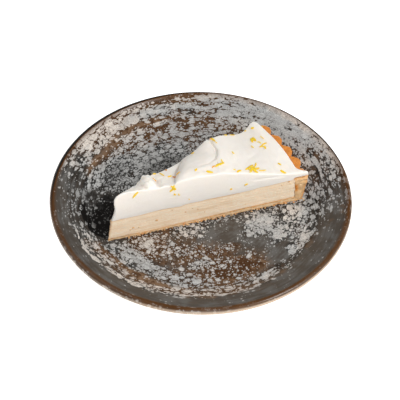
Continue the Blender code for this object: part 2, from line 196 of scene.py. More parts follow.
class Look:
    """One material and the nodes that paint it."""

    MIX_FIRST, MIX_SECOND, MIX_RESULT = 6, 7, 2

    def __init__(self, name: str) -> None:
        """Starts a material with a Principled shader.

        Args:
            name: The material's name.
        """
        self.material = bpy.data.materials.new(name)
        self.material.use_nodes = True
        self.tree = self.material.node_tree
        self.shader = self.tree.nodes["Principled BSDF"]
        self.places = self.node("ShaderNodeTexCoord", {}, {}).outputs["Object"]

    def node(self, kind: str, settings: Mapping[str, Any], values: Mapping[Any, Any]) -> bpy.types.Node:
        """Adds any node.

        Args:
            kind: The node's type.
            settings: Its own settings, or a ramp's stops as (place, colour) pairs.
            values: What each input socket holds or is linked to.

        Returns:
            The node.
        """
        made = self.tree.nodes.new(kind)
        for name, setting in settings.items():
            if name == "stops":
                for index, (place, colour) in enumerate(setting):
                    stops = made.color_ramp.elements
                    stop = stops[index] if index < 2 else stops.new(place)
                    stop.position = place
                    stop.color = (*colour, 1.0)
            else:
                setattr(made, name, setting)
        for name, value in values.items():
            self.feed(made.inputs[name], value)
        return made

    def feed(self, socket: Socket, value: Any) -> None:
        """Links a value to a socket, or sets it there.

        Args:
            socket: The input socket.
            value: A Value, an output socket, a colour, a vector or a number.
        """
        if isinstance(value, Value):
            value = value.socket
        if isinstance(value, Socket):
            self.tree.links.new(value, socket)
        elif socket.type == "RGBA":
            socket.default_value = (*value, 1.0)
        else:
            socket.default_value = value

    def dress(self, **inputs: Any) -> bpy.types.Material:
        """Feeds the shader.

        Args:
            inputs: A value for each socket, with underscores for the spaces in its name.

        Returns:
            The material.
        """
        for name, value in inputs.items():
            self.feed(self.shader.inputs[name.replace("_", " ")], value)
        return self.material

    def mix(self, share: Any, first: Any, second: Any) -> Socket:
        """Lays one colour over another.

        Args:
            share: How much of the second colour shows.
            first: The colour below.
            second: The colour on top.

        Returns:
            The mixed colour.
        """
        ends = {0: share, self.MIX_FIRST: first, self.MIX_SECOND: second}
        made = self.node("ShaderNodeMix", {"data_type": "RGBA", "clamp_factor": True}, ends)
        return made.outputs[self.MIX_RESULT]

    def vector(self, operation: str, *inputs: Any) -> Socket:
        """What a Vector Math node makes of its inputs."""
        made = self.node("ShaderNodeVectorMath", {"operation": operation}, dict(enumerate(inputs)))
        return made.outputs["Value" if operation == "LENGTH" else "Vector"]

    def stretched(self, scale: Sequence[float], turn: float = 0.0) -> Socket:
        """Turns the object's places about the upright axis, then scales them along each axis.

        Args:
            scale: How much finer a pattern gets along each axis.
            turn: The angle in radians.

        Returns:
            The places.
        """
        sizes = tuple(1.0 / size for size in scale)
        values = {"Vector": self.places, "Rotation": (0.0, 0.0, turn), "Scale": sizes}
        return self.node("ShaderNodeMapping", {"vector_type": "TEXTURE"}, values).outputs[0]

    def ringed(self, core: float) -> Socket:
        """Lays all beyond a core out as on a tube, which draws patterns along rings.

        Args:
            core: The core's radius.

        Returns:
            The places.
        """
        flat = self.vector("MULTIPLY", self.places, LEVEL)
        length = Value(self, self.vector("LENGTH", flat))
        held = self.vector("MULTIPLY", self.vector("NORMALIZE", flat), length.at_most(core))
        beyond = self.node("ShaderNodeCombineXYZ", {}, {"Z": (length - core).at_least(0.0)}).outputs[0]
        return self.vector("ADD", held, beyond)

    def shaken(self, places: Any, scale: float, amount: float) -> Socket:
        """Pushes places about by noise, so that a pattern on them loses its even edges.

        Args:
            places: The places.
            scale: The noise's scale.
            amount: How far it pushes, in metres.

        Returns:
            The pushed places.
        """
        cloud = self.node("ShaderNodeTexNoise", {}, {"Vector": places, "Scale": scale, "Detail": 2.0})
        centred = self.vector("SUBTRACT", cloud.outputs["Color"], (0.5, 0.5, 0.5))
        return self.vector("MULTIPLY_ADD", centred, (amount,) * 3, places)

    def noise(self, scale: float, detail: float = 2.0, places: Any = None, rough: float = 0.5) -> Value:
        """Cloudy noise from 0 to 1."""
        values = {"Vector": places or self.places, "Scale": scale, "Detail": detail, "Roughness": rough}
        return Value(self, self.node("ShaderNodeTexNoise", {}, values).outputs[0])

    def sway(self, scale: float, amount: float, detail: float = 2.0) -> Value:
        """Cloudy noise about nothing, up to half the amount to either side."""
        return (self.noise(scale, detail) - 0.5) * amount

    def cells(self, scale: float, places: Any) -> tuple[Value, Value]:
        """Distance from the nearest cell's middle, and a random number for that cell."""
        made = self.node("ShaderNodeTexVoronoi", {}, {"Vector": places, "Scale": scale})
        return Value(self, made.outputs["Distance"]), self.parts(made.outputs["Color"])[0]

    def cell_edges(self, scale: float, places: Any) -> Value:
        """Measures how far each place is from the nearest border between two cells.

        Args:
            scale: The cells' scale.
            places: Where the pattern is taken.

        Returns:
            The distance.
        """
        values = {"Vector": places, "Scale": scale}
        made = self.node("ShaderNodeTexVoronoi", {"feature": "DISTANCE_TO_EDGE"}, values)
        return Value(self, made.outputs["Distance"])

    def parts(self, colour: Socket) -> tuple[Value, Value, Value]:
        """Red, green and blue of a colour."""
        made = self.node("ShaderNodeSeparateColor", {}, {0: colour})
        return tuple(Value(self, made.outputs[index]) for index in range(3))

    def stored(self, name: str) -> tuple[Value, Value, Value]:
        """The three numbers of an attribute that the piece's mesh carries."""
        return self.parts(self.node("ShaderNodeAttribute", {"attribute_name": name}, {}).outputs["Color"])

    def bumped(self, height: Value, distance: float, strength: float) -> Socket:
        """A surface direction that follows a height, with 1 standing for the distance in metres."""
        values = {"Height": height, "Distance": distance, "Strength": strength}
        return self.node("ShaderNodeBump", {}, values).outputs[0]


@dataclass(frozen=True)
class StonewareGlaze:
    """A reactive glaze: light crystals that bloom on a dark slate to rust brown ground.

    Each layer of blobs has its scale, how fast it spreads with the bloom and from where, and how wide its
    veins are.
    """

    slate: Colour = paint(78, 71, 64)
    umber: Colour = paint(124, 97, 74)
    # Darkest ground: the glaze's own black, also painted shadow by the tip and painted shade on the
    # back-left rim.
    black_and_shade: Colour = paint(17, 13, 10)
    rust_vein: Colour = paint(68, 42, 20)
    dusk: Colour = paint(114, 114, 112)
    blue_grey: Colour = paint(200, 200, 198)
    oatmeal: Colour = paint(240, 230, 219)
    rim_brown: Colour = paint(84, 49, 8)
    outer_tan: Colour = paint(192, 170, 148)
    raw_clay: Colour = paint(158, 140, 120)
    blobs: tuple[Quad, ...] = (
        (215.0, 0.86, -0.20, 0.10), (400.0, 0.84, -0.10, 0.13), (800.0, 0.80, -0.04, 0.12),
    )
    blob_core: float = 0.050
    shake_scale: float = 420.0
    shake: float = 0.0011
    spatter_scale: float = 560.0
    pit_scale: float = 1150.0
    sweep_core: float = 0.012
    sweep_scale: float = 620.0
    cloud_scale: float = 95.0
    fine_scale: float = 1500.0
    relief: float = 0.00012

    def _blobs(self, look: Look, local: Value, places: Any) -> tuple[Value, Value]:
        """Round light crystals that crowd together as the bloom grows, with veins left between them.

        Args:
            look: The glaze's look.
            local: The bloom at each place.
            places: Where the pattern is taken.

        Returns:
            How far a place is covered, and a random tone for its crystal.
        """
        covered: Value | None = None
        tone: Value | None = None
        for scale, gain, start, vein in self.blobs:
            distance, chance = look.cells(scale, places)
            spread = local * gain + (chance - 0.5) * 0.5 + start
            gap = look.cell_edges(scale, places) + local * 0.13 + look.sway(scale * 1.3, 0.34)
            spots = (spread - distance).rise(0.0, 0.12) * gap.rise(vein * 0.7, vein * 1.8)
            covered = spots if covered is None else covered.at_least(spots * 0.85)
            tone = chance * 0.5 if tone is None else tone + chance * 0.25
        return covered, tone

    def _crystals(self, look: Look, bloom: Value, local: Value) -> tuple[Value, Value]:
        """All the light crystals: the blobs and a finer spatter, both pitted.

        Args:
            look: The glaze's look.
            bloom: The stored bloom.
            local: The bloom at each place, made uneven.

        Returns:
            How far a place is covered, and a random tone for its crystal.
        """
        places = look.shaken(look.ringed(self.blob_core), self.shake_scale, self.shake)
        covered, tone = self._blobs(look, local, places)
        distance, chance = look.cells(self.spatter_scale, places)
        strewn = bloom.rise(-0.15, 0.0) * look.noise(130.0).rise(0.46, 0.60)
        spatter = (chance * 0.95 - 0.60 - distance).rise(0.0, 0.10) * strewn
        pitted = look.noise(self.pit_scale, 3.0, rough=0.7).rise(0.36, 0.56)
        return covered.at_least(spatter) * (0.52 + 0.48 * pitted), tone

    def make(self) -> bpy.types.Material:
        """Paints the glaze from the plate's stored bloom, warmth, rust and edge shares.

        Rust below 0.12 paints the slice's shadow left of its tip, and a crest above 1 turns the rim black,
        as painted shade on the back-left rim and as a black band on the back-right.

        Returns:
            The material.
        """
        look = Look("speckled_stoneware")
        bloom, warmth, rust = look.stored("glaze")
        crest, outside, foot = look.stored("edge")
        thrown = look.stored("thrown")[0]
        sweep = look.noise(self.sweep_scale, 3.0, look.ringed(self.sweep_core))
        clouds = look.noise(self.cloud_scale, 3.0)
        fine = look.noise(self.fine_scale)
        specks = fine.rise(0.38, 0.64)
        local = bloom + (clouds - 0.5) * 0.45 + look.sway(310.0, 0.40) + (sweep - 0.5) * thrown * 1.3
        crystals, tone = self._crystals(look, bloom, local)
        wash = (local + look.sway(520.0, 0.5, 3.0)).rise(0.30, 0.80) * bloom.rise(0.10, 0.5) * 0.30
        rusty = (rust + look.sway(160.0, 0.8, 3.0)).rise(0.45, 0.95)
        ground = look.mix((clouds * 0.6 + sweep * 0.4).rise(0.42, 0.62) * 0.5, self.slate, self.dusk)
        mottled = look.noise(360.0, 3.0).rise(0.38, 0.60) * (1.0 - thrown) * 0.85
        ground = look.mix(rusty, ground, look.mix(mottled, self.umber, self.rust_vein))
        deep = look.mix(rusty, self.black_and_shade, self.rust_vein)
        deep = look.mix(rusty * fine.rise(0.40, 0.75) * (0.25 + 0.30 * thrown), deep, self.umber)
        blackened = (rust + look.sway(250.0, 1.3, 3.0)).rise(0.84, 1.06)
        # Rust under 0.12, given only by the patches left of the slice's tip, lays the darkest ground there
        # as painted shadow; high rust blackens the glaze itself.
        shadow_and_blackened = (0.12 - rust).rise(0.0, 0.1).at_least(blackened)
        crowded = bloom.rise(0.25, 0.75) * (1.2 - specks * 0.35)
        ground = look.mix(crowded.at_least(shadow_and_blackened), ground, deep)
        ground = look.mix(wash * (1.0 - rusty), ground, self.dusk)
        hue = (warmth + look.sway(210.0, 0.5)).rise(0.2, 0.8)
        light = look.mix(hue, self.blue_grey, self.oatmeal)
        # Warmth under 0.16 greys the crystals; the patches left of the slice's tip use it as painted shadow.
        light = look.mix((0.16 - warmth).rise(0.0, 0.14), light, self.dusk)
        light = look.mix((tone - 0.20) * 0.38, light, self.slate)
        glaze = look.mix(outside, look.mix(crystals, ground, light), self.outer_tan)
        # Crest above 1 turns the rim from brown to black: painted shade on the back-left rim's edge, a black
        # band on the back-right.
        rim = look.mix((crest - 1.0).rise(0.0, 0.8), self.rim_brown, self.black_and_shade)
        glaze = look.mix(crest * (0.8 + 0.2 * specks), glaze, rim)
        return look.dress(
            Base_Color=look.mix(foot, glaze, self.raw_clay),
            Roughness=0.33 + crystals * 0.24 + foot * 0.4 + (clouds - 0.5) * 0.12,
            Normal=look.bumped(crystals * 0.7 + fine * 0.18 + clouds * 0.5, self.relief, 0.8),
            Specular_IOR_Level=0.14,
            Coat_Weight=(crest.at_most(1.0) * 0.35).at_least(outside * 0.5),
            Coat_Roughness=0.16,
        )


@dataclass(frozen=True)
class WhippedCream:
    """Thick white cream with a faint warm cast and fine tool marks."""

    white: Colour = paint(246, 240, 232)
    shade: Colour = paint(239, 231, 221)
    pore_scale: float = 900.0
    stroke_scales: Triple = (90.0, 520.0, 620.0)
    stroke_turn: float = -0.9
    relief: float = 0.00034

    def make(self) -> bpy.types.Material:
        """Paints the cream.

        Returns:
            The material.
        """
        look = Look("whipped_cream")
        pores = look.noise(self.pore_scale, 3.0)
        strokes = look.noise(1.0, 3.0, look.stretched(self.stroke_scales, self.stroke_turn))
        return look.dress(
            Base_Color=look.mix(look.noise(70.0) * 0.6 + pores * 0.25, self.white, self.shade),
            Roughness=0.52 + (pores - 0.5) * 0.1,
            Normal=look.bumped(strokes * 0.6 + pores * 0.35, self.relief, 0.6),
            Subsurface_Weight=0.38,
            Subsurface_Radius=(1.0, 0.86, 0.70),
            Subsurface_Scale=0.0035,
            Specular_IOR_Level=0.35,
        )


@dataclass(frozen=True)
class LemonFilling:
    """A dense set filling with drag lines that the knife left along it."""

    custard: Colour = paint(253, 224, 190)
    pale: Colour = paint(255, 238, 214)
    toasted: Colour = paint(232, 190, 142)
    cut_direction: float = math.radians(17.65)
    line_scales: Triple = (55.0, 300.0, 1400.0)
    band_scales: Triple = (26.0, 200.0, 420.0)
    pit_scale: float = 1100.0
    relief: float = 0.00028

    def make(self) -> bpy.types.Material:
        """Paints the filling, toasted near the edges of its cuts.

        Returns:
            The material.
        """
        look = Look("set_lemon_filling")
        edge = look.stored("cut")[0]
        lines = look.noise(1.0, 3.0, look.stretched(self.line_scales, self.cut_direction))
        bands = look.noise(1.0, 2.0, look.stretched(self.band_scales, self.cut_direction))
        pits = look.noise(self.pit_scale)
        colour = look.mix((lines + (pits - 0.5) * 0.8).rise(0.30, 0.74), self.custard, self.pale)
        colour = look.mix(bands.rise(0.5, 0.75) * 0.42, colour, self.toasted)
        return look.dress(
            Base_Color=look.mix(edge * 0.55, colour, self.toasted),
            Roughness=0.55 + (pits - 0.5) * 0.2,
            Normal=look.bumped(lines * 0.7 + pits * 0.5, self.relief, 0.8),
            Subsurface_Weight=0.08,
            Subsurface_Radius=(1.0, 0.7, 0.4),
            Subsurface_Scale=0.0015,
            Specular_IOR_Level=0.3,
        )


@dataclass(frozen=True)
class ShortPastry:
    """Short pastry: pale crumb inside, golden to brown where the oven reached it."""

    crumb: Colour = paint(242, 216, 178)
    tan: Colour = paint(228, 184, 132)
    golden: Colour = paint(224, 143, 66)
    dark: Colour = paint(150, 82, 34)
    cloud_scale: float = 260.0
    grain_scale: float = 1250.0
    lump_scale: float = 1500.0
    relief: float = 0.0004

    def make(self) -> bpy.types.Material:
        """Paints the pastry from its stored share of baking.

        Returns:
            The material.
        """
        look = Look("short_pastry")
        baked, line, _ = look.stored("bake")
        clouds = look.noise(self.cloud_scale, 3.0)
        grains = look.noise(self.grain_scale, 3.0, rough=0.65)
        stops = ((0.0, self.crumb), (1.0, self.dark), (0.34, self.tan), (0.72, self.golden))
        level = baked + (clouds - 0.5) * 0.34 + (grains - 0.5) * 0.46
        ramp = look.node("ShaderNodeValToRGB", {"stops": stops}, {0: level})
        distance, chance = look.cells(self.lump_scale, look.places)
        return look.dress(
            Base_Color=look.mix(line * (0.15 + clouds * 0.7), ramp.outputs[0], self.golden),
            Roughness=0.78,
            Normal=look.bumped(grains + (0.5 - distance) * 0.6 + chance * 0.2, self.relief, 0.9),
            Specular_IOR_Level=0.2,
        )


@dataclass(frozen=True)
class LemonZest:
    """Grated peel, bright yellow with a few browner shreds."""

    yellow: Colour = paint(255, 211, 46)
    pale: Colour = paint(255, 226, 128)
    orange: Colour = paint(226, 140, 40)
    mottle_scale: float = 1400.0
    relief: float = 0.00015

    def make(self) -> bpy.types.Material:
        """Paints the shreds, each from its own stored tone.

        Returns:
            The material.
        """
        look = Look("lemon_zest")
        tone = look.stored("tone")[0]
        mottle = look.noise(self.mottle_scale)
        colour = look.mix((tone + (mottle - 0.5) * 0.3).rise(0.68, 1.0), self.yellow, self.orange)
        return look.dress(
            Base_Color=look.mix((0.4 - tone + (mottle - 0.5) * 0.4).rise(0.0, 0.5), colour, self.pale),
            Roughness=0.42,
            Normal=look.bumped(mottle, self.relief, 0.7),
            Subsurface_Weight=0.25,
            Subsurface_Radius=(1.0, 0.62, 0.2),
            Subsurface_Scale=0.001,
        )


@dataclass(frozen=True)
class StudioFloor:
    """A plain pale sweep."""

    white: Colour = paint(252, 252, 252)
    cloud: Colour = paint(246, 246, 246)

    def make(self) -> bpy.types.Material:
        """Paints the floor.

        Returns:
            The material.
        """
        look = Look("pale_floor")
        return look.dress(
            Base_Color=look.mix(look.noise(3.0, 1.0) * 0.1, self.white, self.cloud),
            Roughness=0.9,
            Specular_IOR_Level=0.0,
            Emission_Color=self.white,
            Emission_Strength=0.75,
        )


def cube_skin(cuts: tuple[int, int, int]) -> bmesh.types.BMesh:
    """The closed skin of a unit cube, its edges cut into even steps along each axis.

    Args:
        cuts: Number of steps along X, Y and Z.

    Returns:
        A bmesh whose vertices lie between 0 and 1 on each axis.
    """
    skin = bmesh.new()
    bmesh.ops.create_cube(skin, size=1.0, matrix=Matrix.Translation((0.5, 0.5, 0.5)))
    for axis, steps in enumerate(cuts):
        along = [edge for edge in skin.edges if abs(edge.verts[0].co[axis] - edge.verts[1].co[axis]) > 0.5]
        bmesh.ops.subdivide_edges(skin, edges=along, cuts=steps - 1, use_grid_fill=True)
    return skin


def reshape(skin: bmesh.types.BMesh, place: Callable[[Points], Points]) -> Points:
    """Moves every vertex of a cube's skin to where place puts its shares, and turns the faces outwards.

    Args:
        skin: A skin from cube_skin.
        place: Gives world points for shares along the three axes.

    Returns:
        The shares that the vertices had.
    """
    shares = np.clip(np.round([vert.co[:] for vert in skin.verts], 6), 0.0, 1.0)
    for vert, point in zip(skin.verts, place(shares)):
        vert.co = point
    bmesh.ops.recalc_face_normals(skin, faces=list(skin.faces))
    return shares


def store(mesh: bpy.types.Mesh, name: str, *columns: Points | float) -> None:
    """Keeps three numbers for each vertex as an attribute of the mesh.

    Args:
        mesh: The mesh.
        name: The attribute's name.
        columns: The three numbers, each from 0 to 2.
    """
    held = mesh.attributes.new(name, "FLOAT_COLOR", "POINT")
    values = np.ones((len(mesh.vertices), 4), np.float32)
    values[:, :3] = np.clip(triples(*columns), 0.0, 2.0)
    held.data.foreach_set("color", values.ravel())


def as_mesh(name: str, skin: bmesh.types.BMesh) -> bpy.types.Mesh:
    """Turns a bmesh into a mesh and frees it.

    Args:
        name: The mesh's name.
        skin: The bmesh.

    Returns:
        The mesh.
    """
    mesh = bpy.data.meshes.new(name)
    skin.to_mesh(mesh)
    skin.free()
    return mesh


def stand(name: str, data: bpy.types.ID) -> bpy.types.Object:
    """Puts a mesh, light or camera into the scene.

    Args:
        name: The object's name.
        data: What it shows.

    Returns:
        The object.
    """
    made = bpy.data.objects.new(name, data)
    bpy.context.scene.collection.objects.link(made)
    return made


def finish_piece(
    name: str,
    skin: bmesh.types.BMesh,
    look: bpy.types.Material,
    node: str | None = None,
    sharp_angle: float | None = None,
) -> bpy.types.Object:
    """Makes a bmesh a piece that rides on the part.

    Args:
        name: The piece's name.
        skin: Its mesh, in place, which is freed.
        look: Its material.
        node: The plain solid that it stands for, if any.
        sharp_angle: Edges that turn more than this many degrees stay sharp, if given.

    Returns:
        The piece's object.
    """
    mesh = as_mesh(name, skin)
    mesh.materials.append(look)
    mesh.shade_smooth()
    if sharp_angle is not None:
        mesh.set_sharp_from_angle(angle=math.radians(sharp_angle))
    piece = stand(name, mesh)
    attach(piece, BODY)
    if node is not None:
        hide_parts(node)
    log.info("%s: %d faces", name, len(mesh.polygons))
    return piece


@dataclass(frozen=True)
class GlazePatch:
    """A patch of glaze that follows the turned form: where it is, how far it goes, and what it shows."""

    bearing: float
    radius: float
    length: float
    width: float
    bloom: float
    warmth: float
    rust: float

    def weigh(self, bearings: Points, radii: Points) -> Points:
        """How much of the patch each place takes.

        Args:
            bearings: Bearings in degrees from +X, anticlockwise.
            radii: Distances from the plate's middle in millimetres.

        Returns:
            Shares from 0 to 1.
        """
        along = np.radians(degrees_off(bearings, self.bearing)) * self.radius / self.length
        over = (radii - self.radius) / self.width
        return np.minimum(1.3 * np.exp(-(along ** 2) - over ** 2), 1.0)


GLAZE_PATCHES = tuple(GlazePatch(*row) for row in (
    (128, 94, 72, 11, 0.94, 0.85, 1.00), (100, 74, 40, 9, 0.66, 0.25, 0.85),
    (140, 72, 34, 10, 0.72, 0.40, 0.95), (130, 57, 40, 8, 0.66, 0.14, 0.60),
    (138, 46, 44, 8, 0.68, 0.09, 0.36), (168, 84, 26, 10, 0.70, 0.35, 0.60),
    (158, 66, 22, 9, 0.64, 0.10, 0.20), (93, 98, 54, 5.5, 0.40, 0.62, 1.00),
    (98, 89, 38, 3.4, 0.62, 0.10, 0.75), (80, 93, 24, 3.0, 0.44, 0.25, 0.95),
    (112, 92, 22, 3.0, 0.84, 0.40, 0.60), (88, 80, 28, 4.5, 0.56, 0.30, 0.95),
    (52, 92, 46, 9, 1.12, 0.20, 0.60), (34, 99.5, 74, 2.4, 1.00, 0.75, 0.70),
    (18, 86, 24, 8, 0.54, 0.50, 0.80), (23, 87, 12, 1.8, 0.90, 0.30, 0.40),
    (-6, 80, 26, 14, 0.60, 0.16, 0.40), (0, 95, 16, 5, 0.50, 0.20, 0.50),
    (-12, 62, 16, 8, 0.80, 0.60, 0.60), (150, 83, 22, 2.6, 0.30, 0.70, 0.84),
    (132, 85, 14, 2.2, 0.34, 0.70, 0.84), (117, 84.5, 14, 1.5, 0.22, 0.60, 1.00),
    (-42, 93, 52, 10, -0.20, 0.25, 0.35), (-92, 93, 52, 5, -0.20, 0.40, 0.30),
    (-160, 95, 52, 7, 0.12, 0.30, 0.14), (-128, 95, 32, 5, -0.15, 0.30, 0.20),
    (-96, 52, 44, 20, 0.30, 0.35, 0.70), (-50, 62, 24, 16, 0.34, 0.30, 0.40),
    (-43, 52, 22, 9, 0.18, 0.30, 0.25), (-58, 33, 12, 9, 0.06, 0.30, 0.25),
    (-38, 68, 14, 7, 0.02, 0.30, 0.25), (-33, 42, 8, 4.5, 0.90, 0.30, 0.50),
    (-22, 47, 9, 6.0, 0.98, 0.30, 0.50), (-28, 60, 7, 5.0, 1.05, 0.35, 0.50),
    (-33, 73, 5, 4.0, 0.95, 0.30, 0.50), (-23, 76, 10, 5.0, 0.72, 0.50, 0.60),
    (-75, 56, 9, 3.5, 0.90, 0.40, 0.60), (-88, 57, 12, 4.0, 0.78, 0.35, 0.60),
    (-108, 46, 8, 5.0, 0.68, 0.40, 0.80), (-54, 57, 5, 3.0, 0.70, 0.40, 0.60),
    (-56, 76, 10, 2.6, 0.92, 0.40, 0.60), (-68, 63, 22, 9.0, 0.42, 0.35, 1.15),
    (-94, 81, 46, 3.2, 0.66, 0.80, 0.90), (-122, 87, 20, 2.2, 0.85, 0.80, 0.60),
    (-118, 77, 22, 2.2, 0.12, 0.60, 1.00), (-125, 66, 17, 5.0, 0.88, 0.10, 0.60),
    (-100, 70, 16, 4.5, 0.72, 0.20, 0.70), (-143, 72, 6, 4.0, 0.80, 0.20, 0.50),
    # Rows at -162, radius 70, and -172, radius 64: painted shadow left of the slice's tip, with little
    # bloom, grey crystals and rust below nothing for the darkest ground. Rows at -172, radius 80, and 178,
    # radius 76, have rust under 0.12 and carry that darkest ground further out.
    (178, 85, 14, 6.0, 0.48, 0.10, 0.14), (-172, 80, 12, 5.0, 0.50, 0.20, 0.05),
    (-147, 89, 18, 1.4, 0.82, 0.70, 0.30), (-162, 70, 14, 9.0, 0.28, 0.00, -0.50),
    (-172, 64, 12, 9.0, 0.34, 0.02, -0.50), (178, 76, 10, 8.0, 0.52, 0.08, 0.05),
    (-82, 46, 14, 6.0, 0.52, 0.35, 0.92), (-64, 45, 8, 5.0, 0.50, 0.30, 0.85),
    (-130, 53, 16, 7.0, 0.62, 0.50, 0.90),
))


@dataclass
class Plate:
    """The shallow turned plate, with its foot ring and rounded rim.

    The pale rim and the painted shade on the outside, on its front left, have their bearing and half their
    length in degrees. The black rims have that too, then the angle round the rim at which they lie and how
    far they reach over it; the first is painted shade on the back-left rim's edge.
    """

    radius: float = 0.1025
    height: float = 0.021
    rim_round: float = 0.0025
    rim_start: float = math.radians(120)
    rim_sweep: float = math.radians(225)
    well_floor: float = 0.0085
    well_floor_radius: float = 0.0715
    wall_radius: float = 0.0975
    wall_top: float = 0.0188
    wall_slope: float = math.tan(math.radians(16))
    belly_end: Pair = (0.065, 0.0033)
    belly_slopes: Pair = (0.42, 0.12)
    foot_radius: float = 0.062
    foot_width: float = 0.005
    foot_height: float = 0.0025
    foot_bevel: Pair = (0.0004, 0.0003)
    foot_lean: float = 0.0015
    turn_steps: int = 320
    floor_step: float = 0.0016
    wall_steps: int = 26
    rim_steps: int = 18
    belly_steps: int = 22
    under_steps: int = 12
    ring_relief: float = 0.00007
    pale_rim: Pair = (44.0, 26.0)
    blackened_rims: tuple[Quad, ...] = ((138.0, 62.0, 66.0, 50.0), (38.0, 30.0, 60.0, 24.0))
    painted_shade_outside: Pair = (-140.0, 45.0)
    glaze: StonewareGlaze = StonewareGlaze()

    @staticmethod
    def _curve(start: Pair, end: Pair, slopes: Pair, steps: int) -> list[Pair]:
        """Points on a soft curve, without its start.

        Args:
            start: Radius and height where it starts.
            end: Radius and height where it ends.
            slopes: How steeply it leaves and arrives.
            steps: Number of points.

        Returns:
            Radius and height of each point.
        """
        points = []
        run = end[0] - start[0]
        for i in range(1, steps + 1):
            share = i / steps
            high = share * share * (3.0 - 2.0 * share)
            leave = share * (1.0 - share) ** 2 * run * slopes[0]
            arrive = -share * share * (1.0 - share) * run * slopes[1]
            points.append((start[0] + run * share, start[1] + (end[1] - start[1]) * high + leave + arrive))
        return points

    def profile(self) -> list[Pair]:
        """Draws the section that is turned, from the well's middle over the rim and round underneath.

        Returns:
            Radius and height of each point.
        """
        floor_steps = round(self.well_floor_radius / self.floor_step)
        points = [
            (self.well_floor_radius * i / floor_steps, self.well_floor) for i in range(floor_steps + 1)
        ]
        wall = (self.wall_radius, self.wall_top)
        points += self._curve(points[-1], wall, (0.0, self.wall_slope), self.wall_steps)
        for i in range(self.rim_steps + 1):
            angle = self.rim_start - self.rim_sweep * i / self.rim_steps
            points.append((
                self.radius - self.rim_round + self.rim_round * math.cos(angle),
                self.height - self.rim_round + self.rim_round * math.sin(angle),
            ))
        points += self._curve(points[-1], self.belly_end, self.belly_slopes, self.belly_steps)
        inner = self.foot_radius - self.foot_width
        bevel, soft = self.foot_bevel
        points += [(self.foot_radius + bevel, bevel), (self.foot_radius - soft, 0.0)]
        points += [(inner + soft, 0.0), (inner - soft, bevel)]
        shares = [1.0 - i / self.under_steps for i in range(self.under_steps + 1)]
        points += [((inner - self.foot_lean) * share, self.foot_height) for share in shares]
        return points

    def build(self) -> bpy.types.Object:
        """Turns the profile, gives it throwing rings and stores what the glaze needs.

        Returns:
            The piece.
        """
        skin = bmesh.new()
        spots = [skin.verts.new((radius, 0.0, height)) for radius, height in self.profile()]
        line = [skin.edges.new(pair) for pair in zip(spots, spots[1:])]
        bmesh.ops.spin(
            skin, geom=[*spots, *line], cent=(0, 0, 0), axis=(0, 0, 1),
            angle=math.tau, steps=self.turn_steps, use_merge=True,
        )
        bmesh.ops.remove_doubles(skin, verts=list(skin.verts), dist=ON_FACE)
        bmesh.ops.recalc_face_normals(skin, faces=list(skin.faces))
        skin.normal_update()
        places = np.array([vert.co[:] for vert in skin.verts])
        facing = np.array([vert.normal.z for vert in skin.verts])
        radii = np.hypot(places[:, 0], places[:, 1])
        inside = (facing > 0.25) & (places[:, 2] > self.well_floor - MM)
        rings = grain(triples(radii / MM, 0.0, 0.0), 2.6) * self.ring_relief
        swell = grain(places, 0.019, 3.0) * self.ring_relief
        for vert, lift, seen in zip(skin.verts, rings + swell, inside):
            if seen:
                vert.co.z += lift
        piece = finish_piece("stoneware_plate", skin, self.glaze.make(), "plate", 50.0)
        self._store_glaze(piece.data, places, radii)
        self._store_edges(piece.data, places, radii, facing)
        return piece

    @staticmethod
    def _bearings(places: Points) -> Points:
        """Bearings in degrees, led astray a little by noise."""
        bearings = np.degrees(np.arctan2(places[:, 1], places[:, 0]))
        return bearings + grain(places * LEVEL, 0.0085, 5.0) * 2.4

    def _store_glaze(self, mesh: bpy.types.Mesh, places: Points, radii: Points) -> None:
        """Stores bloom, warmth and rust, and where the glaze runs in rings.

        Args:
            mesh: The plate's mesh.
            places: Its vertices before their relief.
            radii: Their distances from the middle.
        """
        flat = places * LEVEL
        at_radius = radii / MM + grain(flat, 0.0075, 1.0) * 1.7 + grain(flat, 0.0033, 9.0) * 0.9
        bearing = self._bearings(places)
        bloom = 0.60 + 0.26 * grain(flat, 0.016, 2.0) + 0.16 * grain(flat, 0.006, 4.0)
        warmth = np.maximum(0.18, 0.46 + 0.45 * grain(flat, 0.021, 7.0))
        rust = np.maximum(0.14, 0.66 + 0.50 * grain(flat, 0.017, 11.0))
        for patch in GLAZE_PATCHES:
            share = patch.weigh(bearing, at_radius)
            bloom += (patch.bloom - bloom) * share
            warmth += (patch.warmth - warmth) * share
            rust += (patch.rust - rust) * share
        way = np.radians(bearing)
        streaks = grain(triples(radii / MM / 1.5, np.cos(way) * 2.0, np.sin(way) * 2.0))
        bloom += 0.22 * streaks * eased((radii - 0.070) / 0.008)
        store(mesh, "glaze", np.minimum(bloom, 1.0), np.minimum(warmth, 1.0), rust)
        store(mesh, "thrown", eased((radii - 0.066) / 0.012), 0.0, 0.0)

    def _store_edges(self, mesh: bpy.types.Mesh, places: Points, radii: Points, facing: Points) -> None:
        """Stores where the glaze breaks brown or black on the rim, and the bare outside and foot.

        The black on the back-left rim's edge is painted shade, and so is the outside's darker front left.

        Args:
            mesh: The plate's mesh.
            places: Its vertices before their relief.
            radii: Their distances from the middle.
            facing: How far each faces up.
        """
        bearing = self._bearings(places)
        rim_out = radii - (self.radius - self.rim_round)
        rim_up = places[:, 2] - (self.height - self.rim_round)
        around = np.degrees(np.arctan2(rim_up, rim_out))
        near_rim = eased(1.6 - np.hypot(rim_out, rim_up) / (self.rim_round * 1.6))
        crest = near_rim * bell(around - 82.0 + grain(places * LEVEL, 0.01) * 8.0, 46.0)
        middle, reach = self.pale_rim
        crest *= 1.0 - 0.7 * bell(degrees_off(bearing, middle), reach)
